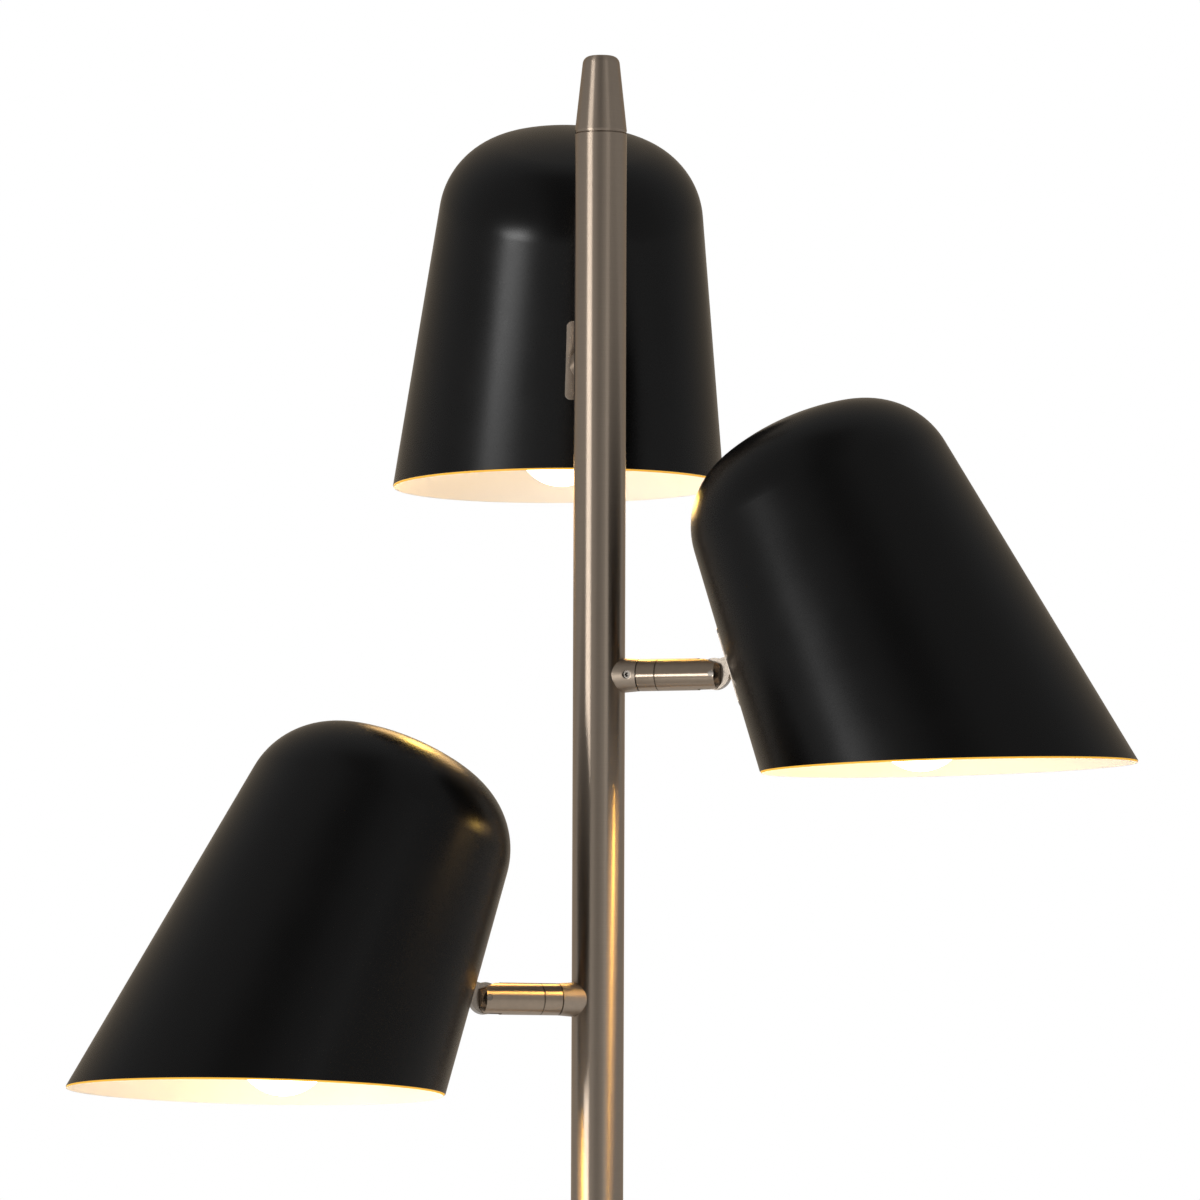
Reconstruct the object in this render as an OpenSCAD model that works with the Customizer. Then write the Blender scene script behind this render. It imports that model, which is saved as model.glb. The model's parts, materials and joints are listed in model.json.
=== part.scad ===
// Floor lamp with three swivelling shades on one upright pole.
// Millimetres, +Z up, origin at the centre of the base's underside.
// Arm frames run outwards from the pole along +X before they are turned to their bearing.

/* [Overall] */
// Height from the floor to the tip of the finial
lamp_h = 1600; // [1500:10:1750]
// Height of the joint between the two pole tubes
joint_z = 790; // [600:10:850]

/* [Pole] */
// Outside diameter of the pole tubes
pole_d = 25; // [24:0.5:28]
// Wall of the pole tubes
pole_wall = 1.2; // [1:0.1:1.6]
// Depth of each threaded insert in a tube end
insert_h = 16; // [12:1:24]
// Outside diameter of the threaded tube and of the coupler
thread_d = 10; // [9:0.5:12]
// Bore for the leads in the threaded tube and the coupler
lead_bore = 6; // [5.6:0.2:7]

/* [Finial] */
// Height of the finial above the pole
finial_h = 38; // [30:1:50]
// Diameter of the finial just under its rounded top
finial_tip_d = 18; // [14:0.5:22]
// Radius of the finial's rounded top edge
finial_round = 4; // [2:0.5:6]
// Depth and width of the shadow line under the finial
finial_seam = 0.6; // [0.3:0.1:1]

/* [Base] */
// Outside diameter of the base cover
base_d = 290; // [240:5:340]
// Thickness of the cast weight
weight_t = 14; // [13:1:20]
// Thickness of the pad under the base
pad_t = 2.5; // [2:0.5:4]
// Sheet thickness of the base cover
cover_t = 1.2; // [1:0.1:1.6]
// Radius of the cover's top edge
cover_round = 5; // [3:0.5:6]
// Gap between the floor and the cover's skirt
skirt_lift = 1; // [0.5:0.1:2]
// Diameter of the cord's hole in the grommet
cord_bore = 7; // [6:0.5:8]

/* [Arms] */
// Distance from the pole's top edge down to the rear arm, the highest
top_drop = 105; // [90:5:150]
// Distance from the pole's top edge down to the right arm
right_drop = 261; // [255:1:310]
// Distance from the pole's top edge down to the left arm, the lowest
left_drop = 416; // [410:1:480]
// Bearing of the left, lowest arm
left_bearing = 203; // [190:1:215]
// Bearing of the right, middle arm
right_bearing = 341; // [330:1:350]
// Bearing of the rear, highest arm
top_bearing = 97; // [85:1:105]
// Diameter of the arms
arm_d = 15.3; // [14.5:0.1:17]
// Length of the saddle, from the pole's surface
saddle_len = 8; // [8:0.5:12]
// How much wider the saddle is at the pole
saddle_flare = 1.2; // [0:0.2:2]
// Length of the swivel ring
ring_len = 9.7; // [8:0.1:14]
// Distance from the swivel ring to the hinge pin
knuckle_reach = 28.5; // [28:0.5:40]

/* [Swivel] */
// Diameter of the hollow stud that carries the arm
stud_d = 8; // [7:0.5:9]
// Bore of the stud
stud_bore = 4.4; // [4:0.2:5]
// Diameter of the stud's flange
flange_d = 11; // [10.5:0.1:11.2]
// Thickness of the stud's flange
flange_t = 2.5; // [2:0.5:3]
// Diameter of the ring's spigot inside the knuckle
spigot_d = 12; // [11.8:0.1:12.4]
// Length of the ring's spigot
spigot_len = 5; // [4:0.5:6]
// Thickness of the friction washer
washer_t = 0.8; // [0.5:0.1:1.2]
// Thread diameter of the set screw in the saddle
set_screw_d = 4; // [3:0.5:4]

/* [Hinge] */
// Diameter of the hinge pin
pin_d = 3; // [2.5:0.5:4]
// Thickness of the tongue
tongue_t = 4.4; // [4:0.1:5]
// Radius of the tongue's round end
tongue_r = 7.6; // [7:0.1:8]
// Height of the tongue's bar
bar_h = 9; // [8:0.5:10]
// How far the cheeks run past the pin
cheek_past = 3.3; // [3:0.1:3.5]
// Chamfer on the knuckle's end
cheek_chamfer = 2; // [1:0.1:2.5]
// Distance from the pin to the shade's wall
wall_gap = 10.4; // [10.4:0.1:13]
// Bore for the leads along the tongue
tongue_bore = 2.6; // [2:0.2:2.8]

/* [Mounting plate] */
// Height of the plate on the shade
plate_h = 39; // [34:1:44]
// Width of the plate
plate_w = 17; // [15:1:20]
// Thickness of the plate
plate_t = 1.6; // [1.2:0.1:1.8]
// Corner radius of the plate
plate_round = 2.8; // [1:0.2:4]
// Distance of the plate's threaded studs from its middle
plate_stud_z = 14; // [12:0.5:14.5]
// Diameter of the plate's threaded studs
plate_stud_d = 4; // [3:0.5:4]

/* [Shades] */
// Outside radius of the shade where the plate meets it
mount_r = 71.9; // [68:0.1:78]
// Half angle of the shade's cone
taper = 7; // [5:0.5:8]
// Height of the shade's crown above the plate's middle
crown_h = 95; // [90:1:105]
// Radius of the crown's flat dome
crown_r = 122; // [110:1:160]
// Radius of the round shoulder
shoulder_r = 41; // [34:0.5:46]
// Wall of the shade
shade_wall = 0.9; // [0.8:0.1:1.5]
// Angle between the rim's plane and a square cut
rim_slant = 23; // [18:0.5:26]
// Distance from the pin down to the rim's plane
rim_drop = 49.4; // [48:0.1:56]
// Lean of the left shade towards the pole
left_lean = 24.9; // [20:0.1:28]
// Lean of the right shade towards the pole
right_lean = 24.5; // [20:0.1:28]
// Lean of the rear shade towards the pole
top_lean = 22.4; // [20:0.1:28]
// Turn of the left shade about its arm
left_roll = 2.8; // [-5:0.1:5]
// Turn of the right shade about its arm
right_roll = 0.7; // [-5:0.1:5]
// Turn of the rear shade about its arm
top_roll = -0.4; // [-5:0.1:5]

/* [Lamp holder] */
// Outside diameter of the lampholder's skirt
holder_d = 28; // [26:1:32]
// Length of the lampholder's body
holder_len = 52; // [48:1:56]
// Sheet thickness of the bracket that carries the lampholder
strap_t = 1.6; // [1.2:0.1:2]
// Thread diameter of the lampholder's neck
neck_d = 10; // [9:0.5:10]
// Diameter of the bulb
bulb_d = 45; // [42:1:46]
// Diameter of the bulb's screw cap
cap_d = 14; // [13:0.5:14.5]
// Length of the bulb's screw cap
cap_len = 22; // [20:0.5:24]
// Distance from the bulb's middle to its cap
bulb_neck = 35; // [30:0.5:38]
// Wall of the bulb's glass
glass_t = 0.8; // [0.6:0.1:1.5]

/* [Hidden] */
$fn = 96;
// Gap between pieces that are screwed or pressed together
fit = 0.05;
// Radial clearance of a running fit
run = 0.05;
// Gap at a turning seam
seam = 0.15;
// Side clearance between moving and fixed faces
side = 0.3;
// Overshoot of cutting tools
eps = 1;
// Size of the block that trims the rim
trim = 300;

pole_r = pole_d / 2;
pole_in = pole_r - pole_wall;
arm_r = arm_d / 2;
stud_r = stud_d / 2;

// Base: gap between weight and skirt, and how far the pad stops short of the weight's rim
weight_gap = 1.3;
pad_inset = 5;
weight_z = pad_t;
base_top = weight_z + weight_t + fit + cover_t;
weight_r = base_d / 2 - cover_t - weight_gap;
pad_r = weight_r - pad_inset;

// Pocket under the weight with the washer and nut of the threaded tube
pocket_h = 9;
foot_washer_t = 1.5;
foot_nut_h = 5;
foot_nut_flats = 1.7 * thread_d;
foot_washer_r = foot_nut_flats / 2 + 5.5;
pocket_r = foot_washer_r + 3;
tube_foot_z = weight_z + 2;

// Cord inlet: the grommet sits in the middle of the skirt's straight band
cord_z = (skirt_lift + base_top - cover_round) / 2;
channel_w = cord_bore + 5;
grommet_wall = 1.5;
lip_t = 2;
lip_in_t = 1.2;
lip_over = 1;
grommet_in = 4.5;

// Pole levels and leads
pole_top = lamp_h - finial_h;
lead_play = 0.6;
lead_r = lead_bore / 2 - lead_play;
branch_r = stud_bore / 2 - side;

// Finial: small bevel over the shadow line
finial_bevel_w = 0.3;
finial_bevel_h = 1.2;

// Arm stations along the arm's own X axis
x_ring = pole_r + saddle_len;
x_knuckle = x_ring + ring_len;
x_spigot = x_knuckle + spigot_len;
x_flange = x_spigot + washer_t + seam;
x_bore = x_flange + flange_t + 1;
x_hinge = x_knuckle + knuckle_reach;
x_slot = x_hinge - tongue_r - 2 * side;
x_end = x_hinge + cheek_past;
weld_nut_len = 4.5;
weld_nut_wall = 2.4;
x_nut = pole_in - weld_nut_len;
x_stud = x_nut + 0.5;
x_screw = pole_r + saddle_len / 2;
screw_len = arm_r - stud_r - 0.6;
screw_socket_r = 0.29 * set_screw_d;
slot_w = tongue_t + 2 * side;

// Sloping flat on top of the knuckle's end
relief_slope = 19;
relief_drop = 3.2;

// Tongue: the leads' hole runs over the pin, and the bar covers it
wire_web = 0.8;
wire_cover = 1.2;
wire_z = pin_d / 2 + wire_web + tongue_bore / 2;
bar_top = wire_z + tongue_bore / 2 + wire_cover;

// Nuts on the plate's studs, on the strap that they clamp
plate_nut_h = 2.4;
plate_nut_flats = 1.75 * plate_stud_d;
plate_nut_x = shade_wall + strap_t + 0.6;
plate_stud_len = plate_nut_x + plate_nut_h + 0.9;
strap_z = plate_stud_z + plate_nut_flats / sqrt(3) + strap_t + 0.35;

// Arms: left, right, top
heights = [pole_top - left_drop, pole_top - right_drop, pole_top - top_drop];
bearings = [left_bearing, right_bearing, top_bearing];
leans = [left_lean, right_lean, top_lean];
rolls = [left_roll, right_roll, top_roll];

// Shade section: the shoulder's centre touches both the cone and the crown
crown_z = crown_h - crown_r;
cone_k = mount_r * cos(taper) - shoulder_r;
quad_a = 1 + pow(tan(taper), 2);
quad_b = -2 * cone_k * sin(taper) / pow(cos(taper), 2) - 2 * crown_z;
quad_c = pow(cone_k / cos(taper), 2) + pow(crown_z, 2) - pow(crown_r - shoulder_r, 2);
shoulder_z = (-quad_b + sqrt(pow(quad_b, 2) - 4 * quad_a * quad_c)) / (2 * quad_a);
shoulder_x = (cone_k - shoulder_z * sin(taper)) / cos(taper);
skirt_z = 140;

// Shelf of the holder's bracket
shelf_w = plate_w - 1;
shelf_round = 1;
shelf_play = 0.2;

// Lamp holder: wide skirt, cone and narrow top, with thin ribs round the skirt
holder_bottom = strap_z - holder_len;
skirt_part = 0.6;
cone_part = 0.15;
holder_top_r = 0.4 * holder_d;
rib_first = 4;
rib_step = 4;
rib_h = 2;
rib_out = 0.6;
neck_h = 8;
holder_nut_h = 3;

// Contact shell and screw cap, the cap's foot a little way inside the skirt
cap_sunk = 3;
cap_base = holder_bottom + cap_sunk;
cap_top = cap_base + cap_len;
shell_wall = 0.8;
shell_play = 0.3;
shell_in = cap_d / 2 + shell_play;
shell_out = shell_in + shell_wall;
contact_z = cap_top + 0.5;
contact_t = 1.5;
shell_sunk = 4;
holder_play = 0.7;

// Bulb: thread depth, shoulder and centre contact of its cap
thread_depth = 0.6;
cap_shoulder = 3;
cap_ridges = 4;
cap_pitch = cap_len / 7;
bulb_z = cap_base - bulb_neck;
glass_inset = 0.4;
glass_touch = 50;

LEFT = 0;
RIGHT = 1;
TOP = 2;

// ---- Frames ----

// Arm frame: X runs out from the pole's axis at the arm's height
module at_arm(i) {
    translate([0, 0, heights[i]]) rotate([0, 0, bearings[i]]) children();
}

// Frame that turns with the swivel
module at_swivel(i) {
    at_arm(i) rotate([rolls[i], 0, 0]) children();
}

// Frame of the shade's wall: origin where the plate's middle meets it, Z up the wall
module at_wall(i) {
    at_swivel(i) translate([x_hinge, 0, 0]) rotate([0, taper - leans[i], 0])
        translate([wall_gap, 0, 0]) children();
}

// Frame of the shade's own axis, at the level of the plate's middle
module at_axis(i) {
    at_wall(i) rotate([0, -taper, 0]) translate([mount_r, 0, 0]) children();
}

// The wall's frame seen from the shade's axis frame
module wall_from_axis() {
    translate([-mount_r, 0, 0]) rotate([0, taper, 0]) children();
}

// Cylinder along X from one station to another
module rod_x(x0, x1, r0, r1) {
    translate([x0, 0, 0]) rotate([0, 90, 0]) cylinder(h = x1 - x0, r1 = r0, r2 = r1);
}

// Cylinder along Y, centred
module rod_y(len, r) {
    rotate([90, 0, 0]) cylinder(h = len, r = r, center = true);
}

// Ring standing on the XY plane
module ring(h, r_out, r_in) {
    difference() {
        cylinder(h = h, r = r_out);
        translate([0, 0, -eps]) cylinder(h = h + 2 * eps, r = r_in);
    }
}

// Hexagonal nut standing on the XY plane
module hex_nut(h, flats, r_in) {
    difference() {
        cylinder(h = h, r = flats / sqrt(3), $fn = 6);
        translate([0, 0, -eps]) cylinder(h = h + 2 * eps, r = r_in);
    }
}

// ---- Base ----

module base_pad() {
    color("dimgray") cylinder(h = pad_t, r = pad_r);
}

// Half section of a disc from one height to another, with a round top edge
module disc_section(r, z0, z1, edge) {
    translate([0, z0]) square([r, z1 - edge - z0]);
    translate([0, z0]) square([r - edge, z1 - z0]);
    translate([r - edge, z1 - edge]) circle(r = edge);
}

// Weight: its round top edge lies inside the cover's
module base_weight() {
    color("darkslategray") difference() {
        rotate_extrude() disc_section(weight_r, weight_z, weight_z + weight_t, cover_round - cover_t);
        translate([0, 0, weight_z - eps]) cylinder(h = pocket_h + eps, r = pocket_r);
        translate([0, 0, -eps]) cylinder(h = lamp_h, r = thread_d / 2 + side);
        translate([-channel_w / 2, 0, weight_z - eps])
            cube([channel_w, base_d, cord_z + channel_w / 2 - weight_z + eps]);
    }
}

// Cover: a flat top with a round edge and a short skirt
module base_cover() {
    color("silver") difference() {
        rotate_extrude() disc_section(base_d / 2, skirt_lift, base_top, cover_round);
        rotate_extrude() disc_section(base_d / 2 - cover_t, skirt_lift - eps, base_top - cover_t,
                                      cover_round - cover_t);
        cylinder(h = lamp_h, r = thread_d / 2 + side);
        translate([0, base_d / 2, cord_z])
            rod_y(4 * cover_t + 2 * cover_round, cord_bore / 2 + grommet_wall);
    }
}

module foot_tube() {
    color("gold") translate([0, 0, tube_foot_z])
        ring(base_top + insert_h - tube_foot_z, thread_d / 2, lead_bore / 2);
}

// Washer and nut that hold the threaded tube in the weight's pocket
module foot_fasteners() {
    washer_z = weight_z + pocket_h - foot_washer_t;
    color("gainsboro") {
        translate([0, 0, washer_z])
            ring(foot_washer_t, foot_washer_r, thread_d / 2 + fit);
        translate([0, 0, washer_z - foot_nut_h])
            hex_nut(foot_nut_h, foot_nut_flats, thread_d / 2 + fit);
    }
}

// Grommet: a lip outside the skirt, a neck through it and a lip inside
module cord_grommet() {
    skirt_r = base_d / 2;
    neck_r = cord_bore / 2 + grommet_wall - fit;
    lip_r = neck_r + lip_over;
    color("black") translate([0, skirt_r - cover_t - grommet_in, cord_z]) rotate([-90, 0, 0])
        difference() {
            union() {
                cylinder(h = grommet_in + cover_t + lip_t, r = neck_r);
                difference() {
                    translate([0, 0, grommet_in - lip_in_t])
                        cylinder(h = lip_in_t + cover_t + lip_t, r = lip_r);
                    translate([0, 0, grommet_in - (skirt_r - cover_t)])
                        rotate([90, 0, 0]) ring_cut(skirt_r + fit, skirt_r - cover_t - fit, lip_r);
                }
            }
            translate([0, 0, -eps]) cylinder(h = 4 * skirt_r, r = cord_bore / 2);
        }
}

// Upright band that clears the skirt's sheet inside the grommet's groove
module ring_cut(r_out, r_in, half_h) {
    translate([0, 0, -2 * half_h]) ring(4 * half_h, r_out, r_in);
}

// ---- Pole ----

module pole_lower() {
    color("silver") translate([0, 0, base_top]) ring(joint_z - base_top, pole_r, pole_in);
}

// Upper tube, with a hole at each arm for the stud
module pole_upper() {
    color("silver") difference() {
        translate([0, 0, joint_z]) ring(pole_top - joint_z, pole_r, pole_in);
        for (i = [LEFT, RIGHT, TOP]) at_arm(i) rod_x(0, pole_d, stud_r + fit, stud_r + fit);
    }
}

// Threaded inserts pressed into the four tube ends
module pole_inserts() {
    color("goldenrod") for (z = [base_top, joint_z - insert_h, joint_z + fit, pole_top - insert_h])
        translate([0, 0, z]) ring(insert_h, pole_in, thread_d / 2 + fit);
}

module pole_coupler() {
    color("gold") translate([0, 0, joint_z - insert_h]) ring(2 * insert_h, thread_d / 2, lead_bore / 2);
}

// Tapered cap with a rounded top, a shadow line and a threaded stud
module finial() {
    tip_r = finial_tip_d / 2;
    color("silver") translate([0, 0, pole_top]) {
        rotate_extrude() {
            polygon([[0, finial_seam], [pole_r - finial_bevel_w, finial_seam],
                     [pole_r, finial_seam + finial_bevel_h],
                     [tip_r, finial_h - finial_round], [0, finial_h - finial_round]]);
            square([pole_r - 2 * finial_seam, finial_seam + eps]);
            translate([0, finial_h - finial_round - eps])
                square([tip_r - finial_round, finial_round + eps]);
            intersection() {
                translate([tip_r - finial_round, finial_h - finial_round]) circle(r = finial_round);
                square([pole_d, lamp_h]);
            }
        }
        translate([0, 0, -insert_h]) cylinder(h = insert_h + eps, r = thread_d / 2);
    }
}

// Leads inside the pole, with a branch into each arm's stud
module lamp_leads() {
    color("white") {
        translate([0, 0, tube_foot_z]) cylinder(h = heights[TOP] - tube_foot_z, r = lead_r);
        translate([0, 0, heights[TOP]]) sphere(r = lead_r);
        for (i = [LEFT, RIGHT, TOP]) at_arm(i) rod_x(0, x_bore, branch_r, branch_r);
    }
}

// ---- Arms ----

// Threaded bush inside the pole, its back shaped to the tube
module weld_nuts() {
    color("goldenrod") for (i = [LEFT, RIGHT, TOP]) at_arm(i) difference() {
        intersection() {
            rod_x(x_nut, pole_r, stud_r + weld_nut_wall, stud_r + weld_nut_wall);
            cylinder(h = 4 * stud_d, r = pole_in - fit, center = true);
        }
        rod_x(0, pole_d, stud_r + fit, stud_r + fit);
    }
}

// Grub screw in the saddle's side, with a hexagon socket
module set_screws() {
    color("dimgray") for (i = [LEFT, RIGHT, TOP])
        at_arm(i) translate([x_screw, -stud_r - fit, 0]) rotate([90, 0, 0]) difference() {
            cylinder(h = screw_len, r = set_screw_d / 2 - fit);
            translate([0, 0, screw_len / 2]) cylinder(h = screw_len, r = screw_socket_r, $fn = 6);
        }
}

// Saddle: coped to the pole, flared towards it, bored for the stud
module saddle(i) {
    color("silver") at_arm(i) difference() {
        rod_x(0, x_ring, arm_r + saddle_flare * x_ring / saddle_len / 2, arm_r);
        cylinder(h = 4 * arm_d, r = pole_r + fit / 2, center = true);
        rod_x(0, pole_d * 2, stud_r + run, stud_r + run);
        translate([x_screw, 0, 0]) rotate([90, 0, 0]) cylinder(h = arm_d, r = set_screw_d / 2);
    }
}

// Hollow stud with a flange that the knuckle turns on
module stud(i) {
    color("gold") at_arm(i) difference() {
        union() {
            rod_x(x_stud, x_flange + eps, stud_r, stud_r);
            rod_x(x_flange, x_flange + flange_t, flange_d / 2, flange_d / 2);
        }
        rod_x(0, x_end, stud_bore / 2, stud_bore / 2);
    }
}

// Ring with a spigot that screws into the knuckle and runs on the stud
module swivel_ring(i) {
    color("silver") at_swivel(i) difference() {
        union() {
            rod_x(x_ring + seam, x_knuckle, arm_r, arm_r);
            rod_x(x_knuckle - eps, x_spigot, spigot_d / 2, spigot_d / 2);
        }
        rod_x(0, x_end, stud_r + run, stud_r + run);
    }
}

module friction_washer(i) {
    color("gold") at_swivel(i) difference() {
        rod_x(x_spigot, x_spigot + washer_t, flange_d / 2, flange_d / 2);
        rod_x(0, x_end, stud_r + run, stud_r + run);
    }
}

// Knuckle: bored at the back, slotted at the front, its top relieved for the tongue
module knuckle(i) {
    color("silver") at_swivel(i) difference() {
        union() {
            rod_x(x_knuckle, x_end - cheek_chamfer, arm_r, arm_r);
            rod_x(x_end - cheek_chamfer, x_end, arm_r, arm_r - cheek_chamfer);
        }
        rod_x(x_knuckle - eps, x_bore, spigot_d / 2 + fit, spigot_d / 2 + fit);
        rod_x(x_bore - eps, x_slot + eps, lead_bore / 2, lead_bore / 2);
        translate([x_slot, -slot_w / 2, -arm_d]) cube([arm_d * 2, slot_w, 2 * arm_d]);
        translate([x_end, 0, arm_r - relief_drop]) rotate([0, relief_slope, 0])
            translate([-arm_d, -arm_d, 0]) cube([2 * arm_d, 2 * arm_d, arm_d]);
        translate([x_hinge, 0, 0]) rod_y(2 * arm_d, pin_d / 2);
    }
}

// Pin ground flush with the knuckle
module hinge_pin(i) {
    color("gainsboro") at_swivel(i) intersection() {
        translate([x_hinge, 0, 0]) rod_y(2 * arm_d, pin_d / 2 - fit / 2);
        rod_x(x_slot, x_end, arm_r - fit, arm_r - fit);
    }
}

// Rounded rectangle in the YZ plane, from one X to another
module plate_blank(x0, x1, w, h, r) {
    translate([x0, 0, 0]) rotate([90, 0, 90]) linear_extrude(height = x1 - x0) {
        square([w - 2 * r, h], center = true);
        square([w, h - 2 * r], center = true);
        for (sx = [-1, 1], sy = [-1, 1])
            translate([sx * (w / 2 - r), sy * (h / 2 - r)]) circle(r = r);
    }
}

// Cone that lies a given distance outside the shade's wall
module wall_cone(offset_out) {
    half = plate_h * 1.5;
    shift = mount_r + offset_out / cos(taper);
    translate([0, 0, -half])
        cylinder(h = 2 * half, r1 = shift + half * tan(taper), r2 = shift - half * tan(taper));
}

// Plate, tongue and two threaded studs in one piece
module hinge_bracket(i) {
    color("gainsboro") difference() {
        union() {
            intersection() {
                at_wall(i) plate_blank(-2 * plate_t, 2 * plate_t, plate_w, plate_h, plate_round);
                at_axis(i) difference() {
                    wall_cone(plate_t);
                    wall_cone(0);
                }
            }
            at_wall(i) {
                translate([-wall_gap, -tongue_t / 2, bar_top - bar_h])
                    cube([wall_gap - plate_t / 2, tongue_t, bar_h]);
                translate([-wall_gap, 0, 0]) rod_y(tongue_t, tongue_r);
                for (s = [-1, 1]) translate([0, 0, s * plate_stud_z])
                    rod_x(-plate_t / 2, plate_stud_len, plate_stud_d / 2, plate_stud_d / 2);
            }
        }
        at_wall(i) translate([-wall_gap, 0, 0]) rod_y(tongue_t + 2 * eps, pin_d / 2 + run);
        wire_hole(i, -2 * wall_gap, plate_stud_len);
    }
}

// Hole for the leads, from one depth to another along the wall frame's X
module wire_hole(i, x0, x1) {
    at_wall(i) translate([0, 0, wire_z]) rod_x(x0, x1, tongue_bore / 2, tongue_bore / 2);
}

// Holes for the plate's two studs
module stud_holes(i, x0, x1) {
    at_wall(i) for (s = [-1, 1]) translate([0, 0, s * plate_stud_z])
        rod_x(x0, x1, plate_stud_d / 2 + fit, plate_stud_d / 2 + fit);
}

module bracket_nuts(i) {
    color("gainsboro") at_wall(i) for (s = [-1, 1])
        translate([plate_nut_x, 0, s * plate_stud_z]) rotate([0, 90, 0])
            hex_nut(plate_nut_h, plate_nut_flats, plate_stud_d / 2 + fit);
}

// ---- Shades ----

// Half section of the shade, set in from its outside by a given depth
module shade_section(inset) {
    r_mount = mount_r - inset / cos(taper);
    r_shoulder = shoulder_r - inset;
    r_crown = crown_r - inset;
    to_crown = atan2(shoulder_x, shoulder_z - crown_z);
    intersection() {
        square([2 * mount_r, 2 * mount_r + 2 * skirt_z], center = false);
        translate([0, skirt_z]) union() {
            polygon([[0, -skirt_z], [r_mount + skirt_z * tan(taper), -skirt_z],
                     [shoulder_x + r_shoulder * cos(taper), shoulder_z + r_shoulder * sin(taper)],
                     [shoulder_x, shoulder_z],
                     [r_crown * sin(to_crown), crown_z + r_crown * cos(to_crown)],
                     [0, crown_z + r_crown * cos(to_crown)]]);
            translate([shoulder_x, shoulder_z]) circle(r = r_shoulder);
            intersection() {
                translate([0, crown_z]) circle(r = r_crown);
                translate([0, crown_z]) polygon([[0, 0], [0, 2 * crown_r],
                    [2 * crown_r * sin(to_crown), 2 * crown_r * cos(to_crown)]]);
            }
        }
    }
}

// Block below the rim's plane, in the shade's axis frame
module rim_trim() {
    wall_from_axis() translate([-wall_gap, 0, 0]) rotate([0, rim_slant - taper, 0])
        translate([-trim, -trim, -rim_drop - trim]) cube([3 * trim, 2 * trim, trim]);
}

module shade(i) {
    color("black") difference() {
        at_axis(i) difference() {
            translate([0, 0, -skirt_z]) rotate_extrude() shade_section(0);
            translate([0, 0, -skirt_z]) rotate_extrude() shade_section(shade_wall);
            rim_trim();
        }
        stud_holes(i, -eps, shade_wall + eps);
        wire_hole(i, -eps, shade_wall + eps);
    }
}

// ---- Lamp holders ----

// Strap on the inside of the wall, with a shelf across to the shade's axis
module holder_bracket(i) {
    shelf_r = mount_r - shade_wall / cos(taper) - strap_z * tan(taper) - shelf_play;
    color("gainsboro") difference() {
        union() {
            intersection() {
                at_wall(i) plate_blank(-2 * plate_t, 4 * strap_t, shelf_w, 2 * strap_z, shelf_round);
                at_axis(i) difference() {
                    wall_cone(-shade_wall);
                    wall_cone(-shade_wall - strap_t);
                    translate([-mount_r * 2, -mount_r, strap_z]) cube(mount_r * 4);
                }
            }
            at_axis(i) translate([0, 0, strap_z - strap_t]) difference() {
                union() {
                    cylinder(h = strap_t, r = shelf_w * 0.75);
                    intersection() {
                        translate([-shelf_r, -shelf_w / 2, 0]) cube([shelf_r, shelf_w, strap_t]);
                        cylinder(h = strap_t, r1 = shelf_r + strap_t * tan(taper), r2 = shelf_r);
                    }
                }
                translate([0, 0, -eps]) cylinder(h = strap_t + 2 * eps, r = neck_d / 2 + fit);
            }
        }
        stud_holes(i, -eps, 4 * strap_t);
        wire_hole(i, -eps, 4 * strap_t);
    }
}

module holder_nut(i) {
    color("gainsboro") at_axis(i) translate([0, 0, strap_z])
        hex_nut(holder_nut_h, 1.4 * neck_d, neck_d / 2 + fit);
}

// Moulded body with a ribbed skirt and a threaded neck
module lampholder(i) {
    color("whitesmoke") at_axis(i) difference() {
        translate([0, 0, holder_bottom]) {
            cylinder(h = holder_len * skirt_part, r = holder_d / 2);
            translate([0, 0, holder_len * skirt_part])
                cylinder(h = holder_len * cone_part, r1 = holder_d / 2, r2 = holder_top_r);
            cylinder(h = holder_len - strap_t, r = holder_top_r);
            translate([0, 0, holder_len - strap_t - eps])
                cylinder(h = neck_h + strap_t, r = neck_d / 2);
            for (z = [rib_first : rib_step : holder_len * skirt_part - rib_step * 2.5])
                translate([0, 0, z]) cylinder(h = rib_h, r = holder_d / 2 + rib_out);
        }
        translate([0, 0, holder_bottom - eps])
            cylinder(h = contact_z + contact_t - holder_bottom + eps, r = shell_out + holder_play);
        translate([0, 0, holder_bottom]) cylinder(h = 2 * holder_len, r = lead_bore / 2);
    }
}

// Threaded shell with the centre contact's disc as its end
module contact_shell(i) {
    shell_base = cap_base + shell_sunk;
    color("gold") at_axis(i) {
        translate([0, 0, shell_base]) ring(contact_z - shell_base + eps, shell_out, shell_in);
        translate([0, 0, contact_z]) cylinder(h = contact_t, r = shell_out);
    }
}

// Screw cap with thread ridges and a centre contact
module bulb_cap(i) {
    root_r = cap_d / 2 - thread_depth;
    color("silver") at_axis(i) translate([0, 0, cap_base]) {
        cylinder(h = cap_len - cap_shoulder, r = root_r);
        for (k = [1 : cap_ridges]) translate([0, 0, cap_pitch * k])
            cylinder(h = cap_pitch / 2, r = cap_d / 2);
        translate([0, 0, cap_len - cap_shoulder]) cylinder(h = cap_shoulder, r1 = root_r, r2 = cap_d / 5);
        cylinder(h = contact_z - cap_base - fit, r = cap_d / 5);
    }
}

// Globe with a tapering neck that ends on the cap, set in from its outside by a given depth
module globe(inset, overrun) {
    ball_r = bulb_d / 2 - inset;
    join_z = bulb_d / 2 * sin(glass_touch);
    sphere(r = ball_r);
    translate([0, 0, join_z])
        cylinder(h = bulb_neck - join_z + overrun, r1 = bulb_d / 2 * cos(glass_touch) - inset,
                 r2 = cap_d / 2 - glass_inset - inset);
}

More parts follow.
